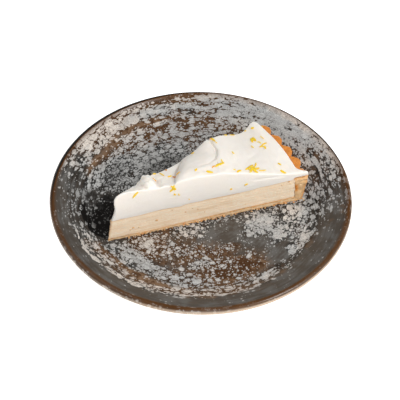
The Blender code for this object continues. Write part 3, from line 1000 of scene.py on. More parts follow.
        # Black rims: the first is painted shade on the back-left rim's outer edge, the second a black band
        # on the back-right rim.
        blackened = sum(
            near_rim * bell(degrees_off(bearing, middle), reach) * bell(around - high, spread)
            for middle, reach, high, spread in self.blackened_rims
        )
        crest = np.maximum(crest, np.minimum(2.6 * blackened, 2.0))
        beyond = eased((46.0 - around) / 24.0) * ((rim_out > 0.0) | (facing < 0.1))
        outside = beyond * eased((places[:, 2] - 0.004) / 0.006)
        # Painted shade: the outside loses part of its pale tan and coat on the front left, away from the key
        # light.
        middle, reach = self.painted_shade_outside
        outside *= 1.0 - 0.65 * bell(degrees_off(bearing, middle), reach)
        foot = eased((0.0009 - places[:, 2]) / 0.0006) * (facing < 0.3)
        store(mesh, "edge", crest, outside, foot)


@dataclass(frozen=True)
class SlicePlace:
    """Where the slice lies on the plate."""

    tip: Triple = (-0.0615, -0.0374, 0.0088)
    front_cut: float = math.radians(17.65)
    angle: float = math.radians(24.55)

    def world(self, reach: Points, turn: Points, height: Points) -> Points:
        """World points of places in the slice.

        Args:
            reach: Distances from the tip.
            turn: Shares of the slice's angle.
            height: Heights over the slice's underside.

        Returns:
            One row of three for each place.
        """
        bearing = self.front_cut + self.angle * turn
        return triples(reach * np.cos(bearing), reach * np.sin(bearing), height) + np.array(self.tip)

    def out_of_cut(self, cut: Cut) -> Points:
        """The direction straight out of one of the cut faces."""
        bearing = self.front_cut + self.angle * cut.value
        return (-1.0 if cut is Cut.FRONT else 1.0) * np.array((-math.sin(bearing), math.cos(bearing), 0.0))

    def roughen_cuts(self, points: Points, turn: Points, push: Callable[[Points, Cut], Points]) -> Points:
        """Moves the points of both cut faces out of the slice.

        Args:
            points: World points.
            turn: Their turns.
            push: Gives how far each point goes, in metres, for one cut.

        Returns:
            The points, with all that lie on no cut as they were.
        """
        for cut in Cut:
            face = np.abs(turn - cut.value) < ON_FACE
            points = points + self.out_of_cut(cut) * (face * push(points, cut))[:, None]
        return points


def ragged_seam(height: Points, turn: Points) -> Points:
    """How far the seam between the filling and the wall wanders at each height, in metres."""
    return grain(triples(height / 0.0035, turn * 5.0, 2.0)) * 0.0007


def packed_turn(shares: Points, pull: float) -> Points:
    """Moves evenly spaced turns towards the two cuts."""
    centred = 2.0 * shares - 1.0
    return 0.5 + 0.5 * centred * (1.0 + pull - pull * centred ** 2)


def on_cuts(turn: Points) -> Points:
    """1 on the two cut faces and 0 between them."""
    return ((turn < ON_FACE) | (turn > 1.0 - ON_FACE)).astype(float)


@dataclass
class PastryCase:
    """The pastry: a thin base and a wall with scalloped flutes, cut on two sides.

    Its two shells are rows of reach and height. The flutes are deepest at the top of the wall, and the
    corner dips there beside the front cut by a depth, over a share of the turn.
    """

    place: SlicePlace
    wall_height: float = 0.0225
    flute_angle: float = math.radians(5.2)
    flute_crest: float = math.radians(19.0)
    flute_depths: Pair = (0.0012, 0.0047)
    crown: float = 0.0006
    corner_dip: Pair = (0.0026, 0.028)
    crag: float = 0.00028
    skin_share: float = 0.02
    steps: tuple[int, int, int] = (200, 16, 150)
    outer: tuple[Pair, ...] = (
        (0.0007, 0.0), (0.020, 0.0), (0.060, 0.0), (0.100, 0.0), (0.120, 0.0), (0.1320, 0.0),
        (0.1358, 0.0), (0.1366, 0.0008), (0.1368, 0.0030), (0.1369, 0.0081), (0.1370, 0.0153),
        (0.1370, 0.0208), (0.1368, 0.0218),
    )
    inner: tuple[Pair, ...] = (
        (0.0009, 0.0016), (0.020, 0.0016), (0.060, 0.00220), (0.100, 0.00340), (0.120, 0.0038),
        (0.1305, 0.0038), (0.1318, 0.0040), (0.1322, 0.0046), (0.1321, 0.0060), (0.1318, 0.0105),
        (0.1313, 0.0165), (0.1310, 0.0212), (0.1312, 0.0220),
    )
    pastry: ShortPastry = ShortPastry()

    def _spread(self, shares: Points) -> tuple[Points, Points]:
        """Lays shares on the case's section.

        Args:
            shares: Shares along its middle line and across its thickness, first and second of each row.

        Returns:
            Reaches and heights.
        """
        shells = np.array((self.outer, self.inner))
        strides = np.hypot(*np.diff(shells.mean(axis=0), axis=0).T)
        lengths = np.concatenate(([0.0], np.cumsum(strides)))
        at = shares[:, 0] * lengths[-1]
        out, into = (
            np.array([np.interp(at, lengths, shell[:, axis]) for axis in range(2)]) for shell in shells
        )
        reach, height = out + (into - out) * shares[:, 1]
        return reach, height

    def _points(self, shares: Points) -> Points:
        """Gives the case its flutes, its crumbly skin and its broken cuts.

        Args:
            shares: Shares along, across the thickness and across the slice.

        Returns:
            World points.
        """
        reach, height = self._spread(shares)
        along, across, turn = shares.T
        turn = packed_turn(turn, 0.1)
        top = (along > 1.0 - ON_FACE).astype(float)
        height = height + top * self.crown * np.sqrt(np.clip(4.0 * across * (1.0 - across), 0.0, 1.0))
        dip, spread = self.corner_dip
        height = height - dip * bell(turn, spread) * eased((height - 0.016) / 0.005)
        bearing = self.place.front_cut + self.place.angle * turn
        flute = np.abs(np.cos(np.pi * (bearing - self.flute_crest) / self.flute_angle)) ** 0.8
        shallow, deep = self.flute_depths
        depth = (shallow + (deep - shallow) * (height / self.wall_height)) * flute
        on_wall = eased((reach - 0.1295) / 0.0030)
        reach = reach + depth * on_wall * (1.0 - across) ** 0.8
        reach = reach + ragged_seam(height, turn) * on_wall * across
        points = self.place.world(reach, turn, height)
        crags = grain(points, 0.0024) + grain(points, 0.0010, 4.0) * 0.8
        crags = crags * self.crag * (1.0 + bell(turn, 0.05))
        outward = self.place.world(reach + 1.0, turn, height) - points
        outer_skin = across < self.skin_share
        points = points + outward * (crags * (outer_skin | (top > 0.0)) * on_wall)[:, None]
        points[:, 2] += crags * top * 1.3

        def crumble(spots: Points, _: Cut) -> Points:
            """How far the cut pastry stands out."""
            coarse = grain(spots, 0.0024, 8.0) * (0.0004 + 0.0004 * on_wall)
            return coarse + grain(spots, 0.0009, 2.0) * 0.00030 - 0.00030 * outer_skin

        points = self.place.roughen_cuts(points, turn, crumble)
        bitten = np.maximum(0.0, grain(points, 0.0028, 5.0) + 0.1)
        points[:, 2] += on_cuts(turn) * outer_skin * (1.0 - on_wall) * bitten * 0.0009
        return points

    def build(self) -> bpy.types.Object:
        """Shapes the case and stores how well each part of it is baked.

        Returns:
            The piece.
        """
        skin = cube_skin(self.steps)
        shares = reshape(skin, self._points)
        places = np.array([vert.co[:] for vert in skin.verts])
        finish = self.pastry.make()
        piece = finish_piece("fluted_pastry_case", skin, finish, "pastry_case", 42.0)
        reach, _ = self._spread(shares)
        along, across, turn = shares.T
        face = on_cuts(turn)
        on_wall = eased((reach - 0.129) / 0.003)
        near_skin = bell(across, 0.22)
        near_filling = bell(across - 1.0, 0.14)
        scorched = np.clip(grain(places, 0.0042, 3.0) * 2.4, 0.0, 1.0)
        cut_face = 0.14 + 0.30 * near_skin + 0.26 * near_filling * (1.0 - on_wall) + 0.10 * on_wall
        cut_face += 0.55 * scorched * bell(across - 0.95, 0.22) * on_wall
        outside = (0.64 + 0.10 * (along > 1.0 - ON_FACE)) * (1.0 - 0.6 * bell(turn, 0.05))
        line = face * near_filling * (1.0 - on_wall)
        store(piece.data, "bake", face * cut_face + (1.0 - face) * outside, line, 0.0)
        return piece


@dataclass
class Filling:
    """The set lemon filling, between the base and the cream.

    Its tops are the heights at the tip and at the wall, and its ends the reaches at its foot and its top.
    The waves are rows of reach and lift in millimetres, the tip rows of share upwards and reach.
    """

    place: SlicePlace
    tops: Pair = (0.0184, 0.0213)
    wall_reach: float = 0.1309
    ends: Pair = (0.13195, 0.13065)
    base_gap: float = 0.0002
    waves: tuple[Pair, ...] = (
        (0, 0.0), (4, 0.0), (10, 0.2), (16, 0.0), (23, -0.3), (30, 0.3), (36, 0.6), (43, 0.1), (50, -0.8),
        (54, 0.2), (58, 0.4), (64, 0.0), (71, 0.3), (78, -0.1), (92, -0.6), (99, -0.6), (106, 0.2),
        (113, -0.3), (120, 0.2), (127, 0.2), (131, 0.0),
    )
    tip: tuple[Pair, ...] = (
        (0.0, 0.0010), (0.1, 0.0013), (0.4, 0.0021), (0.75, 0.0033), (1.0, 0.0037),
    )
    steps: tuple[int, int, int] = (230, 44, 30)
    mix: LemonFilling = LemonFilling()

    def top(self, reach: Points, turn: Points) -> Points:
        """Height of the filling's top, which waves along the front cut.

        Args:
            reach: Distances from the tip.
            turn: Shares of the slice's angle.

        Returns:
            Heights.
        """
        at_tip, at_wall = self.tops
        level = at_tip + (at_wall - at_tip) * reach / self.wall_reach
        wave = np.interp(reach / MM, *np.array(self.waves).T) * MM
        return level + wave * eased(1.0 - turn / 0.3) * 0.9

    def _points(self, shares: Points) -> Points:
        """Gives the filling its undercut tip, its drag lines and its pits.

        Args:
            shares: Shares along, up and across.

        Returns:
            World points.
        """
        along, up, turn = shares[:, 0], shares[:, 1], packed_turn(shares[:, 2], 0.2)
        start = np.interp(up, *np.array(self.tip).T)
        foot, head = self.ends
        reach = start + (foot + (head - foot) * up - start) * along
        pastry = 0.0016 + 0.0022 * eased((reach - 0.02) / 0.10)
        low = pastry + self.base_gap
        height = low + (self.top(reach, turn) - low) * up
        reach = reach + ragged_seam(height, turn) * eased((along - 0.97) / 0.02)

        def drag(spots: Points, cut: Cut) -> Points:
            """How far the cut filling stands out.

            Args:
                spots: World points.
                cut: The cut.

            Returns:
                Metres for each place.
            """
            lines = grain(triples(reach / 0.020, height / 0.0009, cut.value)) * 0.00010
            pits = np.minimum(0.0, grain(spots, 0.0012, 6.0) + 0.25) * 0.0006
            return lines + (pits + grain(spots, 0.0045, 2.0) * 0.00016) - 0.00012

        points = self.place.roughen_cuts(self.place.world(reach, turn, height), turn, drag)
        points[:, 0] += (along < ON_FACE) * grain(points, 0.0015, 3.0) * 0.0003
        return points

    def build(self) -> bpy.types.Object:
        """Shapes the filling and stores how near its cut faces are to their edges.

        Returns:
            The piece.
        """
        skin = cube_skin(self.steps)
        along, up, _ = reshape(skin, self._points).T
        piece = finish_piece("lemon_filling", skin, self.mix.make(), "filling", 50.0)
        edge = 1.4 * bell(up - 1.0, 0.04) + 0.8 * bell(up, 0.05) + bell(along, 0.006)
        store(piece.data, "cut", edge, 0.0, 0.0)
        return piece


@dataclass(frozen=True)
class Crease:
    """A groove in the cream's top, through places of reach in millimetres, turn and strength.

    The cream on the right of its course lies lower by the step, and climbs back over the fade.
    """

    course: tuple[Triple, ...]
    depth: float
    width: float
    step: float = 0.0
    fade: float = 7.0

    def lowers(self, reach: Points, turn: Points, angle: float) -> Points:
        """How far it lowers the cream.

        Args:
            reach: Distances from the tip in metres.
            turn: Shares of the slice's angle.
            angle: The slice's angle.

        Returns:
            Metres for each place.
        """
        def flat(far: Points, share: Points) -> Points:
            """Places in the plane, in millimetres."""
            return np.stack((far * np.cos(angle * share), far * np.sin(angle * share)), axis=-1)

        spots = flat(reach / MM, turn)
        course = np.array(self.course)
        knots = flat(course[:, 0], course[:, 1])
        nearest = np.full(len(reach), np.inf)
        side, strength = np.zeros(len(reach)), np.zeros(len(reach))
        for start, end, first, last in zip(knots, knots[1:], course[:, 2], course[1:, 2]):
            run = end - start
            share = np.clip((spots - start) @ run / (run @ run), 0.0, 1.0)
            off = spots - start - share[:, None] * run
            distance = np.hypot(off[:, 0], off[:, 1])
            closer = distance < nearest
            nearest = np.where(closer, distance, nearest)
            side = np.where(closer, np.sign(off[:, 0] * run[1] - off[:, 1] * run[0]), side)
            strength = np.where(closer, first + (last - first) * share, strength)
        signed = nearest * side
        shelf = self.step * eased((signed + 0.6) / 1.2) * np.exp(-np.maximum(signed, 0.0) / self.fade)
        return strength * (self.depth * bell(nearest, self.width) + shelf) * MM


CREASES = (
    Crease((
        (88.9, 1.02, 1.0), (88.8, 0.93, 1.0), (87.3, 0.82, 1.0), (85.8, 0.66, 0.95), (83.3, 0.53, 0.75),
        (80.5, 0.45, 0.50), (77.4, 0.39, 0.35), (75.2, 0.35, 0.28), (70.0, 0.33, 0.22), (64.5, 0.35, 0.16),
        (59.4, 0.46, 0.0),
    ), 0.80, 1.15, 1.9, 8.0),
    Crease((
        (64.4, 0.97, 0.5), (61.3, 0.88, 0.8), (57.9, 0.79, 1.0), (54.4, 0.68, 1.0), (51.6, 0.49, 1.0),
        (49.2, 0.28, 0.8), (46.9, 0.07, 0.5), (46.2, 0.0, 0.2),
    ), 0.80, 1.0),
    Crease((
        (32.4, 1.05, 0.2), (36.1, 1.07, 0.5), (38.0, 0.90, 1.0), (37.7, 0.57, 1.0), (36.3, 0.29, 0.7),
        (33.8, 0.07, 0.4), (30.1, -0.02, 0.0),
    ), 1.00, 1.0),
    Crease(((104.0, 0.34, 0.0), (108.0, 0.42, 1.0), (116.0, 0.50, 0.6), (123.0, 0.64, 0.0)), 0.35, 1.6),
    Crease(((112.0, 0.93, 0.0), (112.0, 0.80, 1.0), (114.0, 0.66, 0.6), (118.0, 0.56, 0.0)), 0.35, 1.6),
    Crease(((56.0, 0.22, 0.0), (64.0, 0.17, 1.0), (76.0, 0.16, 0.6), (86.0, 0.20, 0.0)), 0.25, 1.4),
)


@dataclass
class Cream:
    """The whipped cream, a thick layer whose top is pulled into folds across the slice.

    Each fold has three reaches and three heights in millimetres, at the front, middle and back. The tip has
    rows of share upwards and reach. Each swell has its closeness along and across, its layer and its height.
    """

    place: SlicePlace
    filling: Filling
    edge_round: float = 0.0008
    flap: Pair = (0.0064, 0.055)
    rim_level: float = 0.0234
    tip_blend: float = 0.015
    rib_spacing: float = 0.0044
    rib_height: float = 0.00055
    swells: tuple[Quad, ...] = ((90.0, 3.2, 1.7, 0.00055), (260.0, 9.0, 5.2, 0.00028))
    score: Pair = (0.00034, 0.0010)
    tip: tuple[Pair, ...] = (
        (0.0, 4.0), (0.10, 5.0), (0.25, 6.4), (0.45, 7.3), (0.70, 6.9), (0.88, 7.0), (1.0, 8.6),
    )
    folds: tuple[tuple[Triple, Triple], ...] = (
        ((8.6, 8.6, 9.2), (40.6, 38.8, 36.2)),
        ((13.5, 13.5, 14.5), (42.5, 40.4, 36.9)),
        ((21.0, 21.0, 21.0), (42.0, 40.2, 37.0)),
        ((27.0, 26.2, 25.8), (41.2, 40.2, 36.9)),
        ((29.8, 28.6, 28.6), (41.0, 42.1, 39.0)),
        ((32.4, 31.6, 31.4), (40.9, 43.2, 41.6)),
        ((35.2, 35.2, 34.8), (40.3, 41.4, 40.2)),
        ((37.2, 37.6, 38.0), (40.2, 38.7, 38.1)),
        ((40.0, 41.0, 43.5), (40.6, 39.0, 36.0)),
        ((43.4, 46.6, 54.0), (40.4, 37.4, 34.2)),
        ((46.2, 51.4, 63.2), (40.7, 37.3, 33.4)),
        ((48.6, 53.4, 65.2), (42.1, 39.9, 34.5)),
        ((55.0, 59.0, 70.5), (43.3, 42.6, 35.2)),
        ((64.0, 68.0, 78.0), (43.1, 42.6, 36.6)),
        ((74.0, 80.6, 86.0), (42.4, 41.5, 40.6)),
        ((76.5, 82.2, 87.6), (42.1, 41.8, 40.8)),
        ((82.0, 86.5, 91.0), (41.0, 41.0, 38.4)),
        ((90.0, 93.0, 97.0), (38.9, 37.6, 36.5)),
        ((98.0, 100.0, 104.5), (36.6, 34.4, 32.6)),
        ((106.0, 107.5, 113.5), (34.3, 31.6, 27.9)),
        ((113.5, 115.0, 120.0), (31.6, 29.8, 26.1)),
        ((120.0, 121.5, 124.0), (29.2, 29.6, 26.8)),
        ((126.0, 127.0, 129.2), (27.5, 29.6, 29.8)),
        ((131.6, 131.8, 132.6), (27.0, 28.2, 28.2)),
        ((133.3, 133.2, 134.4), (26.4, 26.3, 26.2)),
        ((133.8, 133.8, 135.0), (24.0, 24.0, 24.0)),
    )
    steps: tuple[int, int, int] = (300, 96, 40)
    cut_line: tuple[Pair, Pair] = ((0.0976, 0.0300), (0.1257, 0.0270))
    whip: WhippedCream = WhippedCream()

    def top(self, along: Points, turn: Points) -> tuple[Points, Points]:
        """Reach and height of the cream's top.

        Args:
            along: Shares of the way from the first fold to the last.
            turn: Shares of the slice's angle.

        Returns:
            Reaches and heights in metres.
        """
        last = len(self.folds) - 1
        rows = along * last
        index = np.clip(rows.astype(int), 0, last - 1)
        share = rows - index
        weights = triples(
            2.0 * (turn - 0.5) * (turn - 1.0), 4.0 * turn * (1.0 - turn), 2.0 * turn * (turn - 0.5)
        )
        numbers = np.array(self.folds)
        curves = []
        for kind in range(2):
            before, near, far, after = (
                np.sum(numbers[np.clip(index + step, 0, last), kind] * weights, axis=1)
                for step in (-1, 0, 1, 2)
            )
            rise, fall = (far - before) / 2.0, (after - near) / 2.0
            bend = 2.0 * (near - far) + rise + fall
            turn_over = 3.0 * (far - near) - 2.0 * rise - fall
            curves.append((near + share * (rise + share * (turn_over + share * bend))) * MM)
        reach, height = curves
        reach = reach + self.flap[0] * bell(turn, self.flap[1]) * eased((rows - last + 4.0) / 3.0)
        for crease in CREASES:
            height = height - crease.lowers(reach, turn, self.place.angle)
        rib = np.cos(math.tau * (reach + 0.004 * turn) / self.rib_spacing)
        height = height + self.rib_height * rib * bell(reach - 0.029, 0.007) * eased(turn / 0.2)
        for lengthwise, crosswise, layer, size in self.swells:
            height = height + size * grain(triples(reach * lengthwise, turn * crosswise, layer))
        return reach, height

    def bottom(self, reach: Points, turn: Points) -> Points:
        """Height of the cream's underside: on the filling, then up onto the pastry's rim.

        Args:
            reach: Distances from the tip.
            turn: Shares of the slice's angle.

        Returns:
            Heights.
        """
        level = self.filling.top(reach, turn) + 0.00012
        onto_rim = eased((reach - self.filling.wall_reach + 0.0016) / 0.0010)
        return level + (self.rim_level - level) * onto_rim

    def _points(self, shares: Points) -> Points:
        """Gives the cream its undercut tip, its rounded edges and its drawn cuts.

        Args:
            shares: Shares along, across and up.

        Returns:
            World points.
        """
        turn = packed_turn(shares[:, 1], 0.4)
        up = shares[:, 2]
        reach, top = self.top(shares[:, 0], turn)
        places, undercut = np.array(self.tip).T
        shoulder = undercut[-1]
        cut_under = (shoulder - np.interp(up, places, undercut)) * MM
        reach = reach - cut_under * np.clip(1.0 - (reach - shoulder * MM) / self.tip_blend, 0.0, None)
        bottom = self.bottom(reach, turn)
        width = np.maximum(reach * self.place.angle, 0.0001)
        edge = np.minimum(turn, 1.0 - turn) * width
        rounding = np.minimum(self.edge_round, width * 0.4)
        inner = np.clip(1.0 - edge / rounding, 0.0, 1.0)
        top = top - rounding * (1.0 - np.sqrt(1.0 - inner ** 2)) * 0.98
        height = bottom + (top - bottom) * up
        (start, high), (end, low) = self.cut_line
        share = (reach - start) / (end - start)
        depth, spread = self.score
        scored = depth * bell(height - high - (low - high) * share, spread)
        scored = scored * eased(4.0 * share) * eased(4.0 - 4.0 * share)

        def draw(spots: Points, cut: Cut) -> Points:
            """How far the cut cream stands out.

            Args:
                spots: World points.
                cut: The cut.

            Returns:
                Metres for each place.
            """
            bulge = np.sin(np.pi * up)
            drag = grain(triples(reach / 0.016, height / 0.0016, cut.value)) * 0.00008
            drag = drag + grain(spots, 0.012, 2.0) * 0.00025 * bulge
            return 0.00012 * bulge + drag - scored * (1.0 - cut.value)

        return self.place.roughen_cuts(self.place.world(reach, turn, height), turn, draw)

    def build(self) -> bpy.types.Object:
        """Shapes the cream.

        Returns:
            The piece.
        """
        skin = cube_skin(self.steps)
        reshape(skin, self._points)
        return finish_piece("whipped_cream", skin, self.whip.make(), "cream", 60.0)


@dataclass(frozen=True)
class Shred:
    """One shred of zest, from end to end, in millimetres.

    Each end has its reach and its turn, or its height where the shred lies on the front cut.
    """

    reach: float
    across: float
    end_reach: float
    end_across: float
    width: float
    tone: float
    on_front: bool = False


ZEST = tuple(Shred(*row) for row in (
    (125.5, 0.93, 126.8, 0.90, 1.4, 0.35), (121.7, 0.97, 122.6, 0.96, 0.8, 0.30),
    (103.0, 0.99, 104.6, 0.97, 1.2, 0.60), (108.0, 0.99, 112.5, 0.98, 0.7, 0.80),
    (119.8, 0.80, 117.5, 0.71, 1.4, 0.50), (120.8, 0.80, 119.8, 0.70, 1.4, 0.35),
    (118.4, 0.79, 121.2, 0.75, 1.2, 0.50), (120.3, 0.68, 121.5, 0.62, 0.7, 0.20),
    (121.4, 0.59, 124.9, 0.58, 0.9, 0.40), (118.7, 0.58, 121.5, 0.58, 1.0, 0.45),
    (121.8, 0.60, 120.6, 0.56, 0.8, 0.40), (121.2, 0.56, 120.8, 0.50, 1.1, 0.50),
    (114.5, 0.66, 114.5, 0.59, 0.9, 0.10), (125.1, 0.74, 125.4, 0.66, 0.5, 0.05),
    (95.6, 0.56, 95.6, 0.49, 0.9, 0.20), (96.0, 0.09, 103.7, 0.21, 1.3, 0.55),
    (97.4, 0.12, 102.4, 0.20, 1.0, 0.40), (106.9, 0.26, 102.7, 0.14, 0.8, 0.40),
    (98.8, 0.05, 104.0, 0.15, 1.5, 0.55), (102.5, 0.11, 107.0, 0.14, 1.2, 0.45),
    (101.6, 0.09, 104.0, 0.02, 1.4, 0.55), (97.6, 0.02, 100.2, 0.06, 0.8, 0.20),
    (105.3, 0.08, 110.7, 0.08, 0.7, 0.20), (98.5, 0.13, 99.6, 0.06, 0.8, 0.25),
    (102.8, 0.18, 103.1, 0.06, 1.2, 0.50), (100.6, 0.15, 105.2, 0.10, 1.1, 0.55),
    (89.2, 0.02, 92.7, 0.06, 1.2, 0.45), (87.5, 0.09, 88.8, 0.08, 0.7, 0.20),
    (121.9, 0.20, 123.3, 0.16, 1.0, 0.30), (121.2, 0.08, 124.2, 0.02, 1.5, 0.55),
    (94.4, 26.9, 96.8, 27.8, 1.0, 0.35, True), (84.5, 26.2, 85.8, 26.3, 1.1, 0.35, True),
    (134.0, 0.91, 133.2, 0.88, 0.9, 0.25), (18.8, 36.6, 22.4, 41.2, 1.1, 0.55, True),
    (39.6, 0.96, 41.6, 0.92, 1.2, 0.65), (44.2, 0.91, 44.6, 0.64, 0.7, 0.35),
    (46.2, 0.55, 49.4, 0.57, 1.0, 0.50), (49.5, 0.52, 51.1, 0.41, 0.9, 0.95),
    (51.4, 0.42, 53.6, 0.40, 1.0, 0.72), (72.5, 0.96, 73.8, 0.92, 1.0, 0.35),
    (62.1, 0.20, 64.1, 0.26, 1.1, 0.50), (69.0, 0.13, 73.2, 0.07, 1.3, 0.55),
    (73.9, 0.20, 76.7, 0.23, 0.7, 0.90), (76.4, 0.21, 83.5, 0.26, 1.3, 0.50),
    (77.6, 0.25, 81.0, 0.23, 1.0, 0.40), (82.9, 0.36, 83.4, 0.25, 0.7, 0.30),
    (43.9, 40.2, 47.4, 36.2, 1.0, 0.45, True), (43.2, 35.5, 47.3, 37.8, 1.1, 0.50, True),
    (45.1, 39.6, 46.8, 40.0, 0.8, 0.35, True), (44.8, 38.3, 46.5, 35.8, 1.0, 0.50, True),
    (46.3, 32.9, 47.3, 31.5, 1.0, 0.45, True), (49.2, 32.0, 50.1, 30.4, 0.6, 0.30, True),
    (90.7, 0.99, 90.3, 0.86, 1.4, 0.55), (89.2, 0.98, 90.6, 0.99, 0.9, 0.85),
    (35.6, 0.62, 37.6, 0.56, 0.5, 0.90), (90.1, 0.84, 90.3, 0.81, 0.5, 0.40),
    (55.9, 24.6, 56.6, 24.1, 0.5, 0.30, True), (50.0, 0.98, 51.2, 0.95, 0.6, 0.90),
))


@dataclass
class Zest:
    """The shreds of lemon zest that lie on the cream."""

    place: SlicePlace
    cream: bpy.types.Object
    thickness: float = 0.0005
    spread: float = 1.4
    above: float = 0.046
    clear: float = 0.003
    segments: int = 6
    bend: float = 0.0006
    twist: float = 0.6
    tone_range: float = 0.08
    seed: int = 7
    peel: LemonZest = LemonZest()

    def _stations(self, skin: BVHTree, shred: Shred, bend: float) -> list[Station]:
        """Lays a shred's middle line on the cream.

        Args:
            skin: The cream's surface.
            shred: The shred.
            bend: How far its middle lies to one side.

        Returns:
            Points along it, each with the cream's outward direction there.
        """
        toward = -Vector(self.place.out_of_cut(Cut.FRONT)) if shred.on_front else Vector((0.0, 0.0, -1.0))
        ends = []
        for reach, across in ((shred.reach, shred.across), (shred.end_reach, shred.end_across)):
            turn, height = (0.0, across * MM) if shred.on_front else (across, self.above)
            spot = Vector(self.place.world(np.float64(reach * MM), turn, height))
            ends.append(spot - toward * self.clear)
        side = toward.cross(ends[1] - ends[0]).normalized()
        stations = []
        for i in range(self.segments + 1):
            share = i / self.segments
            spot = ends[0].lerp(ends[1], share) + side * bend * (1.0 - (2.0 * share - 1.0) ** 2)
            point, outward = skin.ray_cast(spot, toward)[:2]
            if point is None:
                point, outward = skin.find_nearest(spot)[:2]
            stations.append((point + outward * self.thickness * 0.3, outward))
        return stations

    def _add_shred(
        self, whole: bmesh.types.BMesh, stations: Sequence[Station], width: float, twist: float
    ) -> int:
        """Adds a flat bent bar along the stations.

        Args:
            whole: The bmesh of all the shreds.
            stations: Points with outward directions.
            width: The bar's width in its middle.
            twist: How far it turns from end to end, in radians.

        Returns:
            The number of its vertices.
        """
        bar = cube_skin((self.segments, 2, 1))
        for vert in bar.verts:
            index = round(vert.co.x * self.segments)
            middle, outward = stations[index]
            ahead = stations[min(self.segments, index + 1)][0] - stations[max(0, index - 1)][0]
            sideways = outward.cross(ahead).normalized()
            taper = 0.55 + 0.45 * math.sin(math.pi * vert.co.x)
            roll = twist * (vert.co.x - 0.5)
            across = (vert.co.y - 0.5) * width * taper
            raised = (vert.co.z - 0.5) * self.thickness + abs(vert.co.y - 0.5) * self.thickness * 0.8
            lifted = raised + across * math.sin(roll)
            vert.co = middle + sideways * (across * math.cos(roll)) + outward * lifted
        bmesh.ops.recalc_face_normals(bar, faces=list(bar.faces))
        scratch = as_mesh("shred", bar)
        count = len(scratch.vertices)
        whole.from_mesh(scratch)
        bpy.data.meshes.remove(scratch)
        return count

    def build(self) -> bpy.types.Object:
        """Lays all the shreds on the cream.

        Returns:
            The piece.
        """
        cream = self.cream.data
        corners = [vert.co for vert in cream.vertices]
        skin = BVHTree.FromPolygons(corners, [face.vertices for face in cream.polygons])
        draw = random.Random(self.seed)
        whole = bmesh.new()
        tones: list[float] = []
        for shred in ZEST:
            stations = self._stations(skin, shred, draw.uniform(-self.bend, self.bend))
            width = shred.width * self.spread * MM
            count = self._add_shred(whole, stations, width, draw.uniform(-self.twist, self.twist))
            tones += [shred.tone + draw.uniform(-self.tone_range, self.tone_range)] * count
        piece = finish_piece("zest_shreds", whole, self.peel.make())
        store(piece.data, "tone", np.array(tones), 0.0, 0.0)
        rounded = piece.modifiers.new("rounded", "SUBSURF")
        rounded.levels = rounded.render_levels = 1
        return piece


@dataclass(frozen=True)
class Crumb:
    """One lump on the front cut.

    Its reach, height, size and how far it stands out are in millimetres, and its tone is how brown it is.
    """

    reach: float
    height: float
    size: float
    tone: float
    out: float = -0.15


CRUMBS = tuple(Crumb(*row) for row in (
    (18.0, 8.0, 1.6, 0.36), (16.2, 6.6, 1.3, 0.05), (22.0, 7.4, 1.7, 0.05), (34.0, 10.4, 1.7, 0.38),
    (44.8, 17.2, 1.1, 0.36), (54.0, 12.4, 1.0, 0.40), (59.0, 14.6, 1.3, 0.10), (62.6, 12.6, 1.0, 0.30),
    (67.2, 8.6, 1.0, 0.30), (122.0, 18.4, 1.5, 0.05), (127.6, 18.4, 1.3, 0.08), (126.6, 20.6, 1.3, 0.42),
    (130.6, 13.4, 0.9, 0.50), (74.0, 6.4, 0.7, 0.2), (96.0, 7.4, 0.7, 0.3),
))


@dataclass
class Crumbs:
    """Crumbs and lumps that the knife dragged along the front cut."""

    place: SlicePlace
    foot_crumbs: int = 150
    seed: int = 21
    rough: float = 0.35
    rough_scale: float = 2600.0
    pastry: ShortPastry = ShortPastry()

    def _foot(self, draw: random.Random) -> list[Crumb]:
        """Crumbs along the foot of the cut, some of them fallen onto the plate.

        Args:
            draw: The source of random numbers.

        Returns:
            The crumbs.
        """
        foot = []
        for _ in range(self.foot_crumbs):
            fallen = draw.random() ** 2
            high = draw.uniform(0.0, 1.4) * (1.0 - fallen) + 0.15
            tone = draw.uniform(0.02, 0.6)
            reach, size = draw.uniform(14.0, 139.0), draw.uniform(0.5, 1.5)
            foot.append(Crumb(reach, high, size, tone, 1.5 * fallen - 0.2))
        return foot

    def build(self) -> bpy.types.Object:
        """Sets the crumbs half into the front cut and along its foot.

        Returns:
            The piece.
        """
        draw = random.Random(self.seed)
        whole = bmesh.new()
        tones: list[float] = []
        out = Vector(self.place.out_of_cut(Cut.FRONT))
        ahead = Vector((math.cos(self.place.front_cut), math.sin(self.place.front_cut), 0.0))
        for crumb in (*CRUMBS, *self._foot(draw)):
            middle = Vector(self.place.world(crumb.reach * MM, 0.0, crumb.height * MM))
            middle += out * crumb.out * MM
            size = crumb.size * MM / 2.0
            axes = (ahead * size * draw.uniform(1.1, 1.5), out * size * 0.75, Vector((0.0, 0.0, size)))
            spot = Matrix.Translation(middle) @ Matrix(axes).transposed().to_4x4()
            lump = bmesh.ops.create_icosphere(whole, subdivisions=1, radius=1.0, matrix=spot)["verts"]
            for vert in lump:
                vert.co += (vert.co - middle) * self.rough * noise.noise(vert.co * self.rough_scale)
            tones += [crumb.tone] * len(lump)
        bmesh.ops.recalc_face_normals(whole, faces=list(whole.faces))
        piece = finish_piece("cut_crumbs", whole, self.pastry.make())
        store(piece.data, "bake", np.array(tones), 0.0, 0.0)
        return piece


@dataclass(frozen=True)
class Lamp:
    """A soft light: its bearing and elevation in degrees from the plate, its size and its power."""

    name: str
    bearing: float
    elevation: float
    size: float
    power: float


LAMPS = (
    Lamp("key_light", -26.0, 51.0, 0.34, 8.0),
    Lamp("front_light", -84.0, 22.0, 0.70, 3.0),
    Lamp("back_light", 168.0, 54.0, 0.80, 1.9),
)


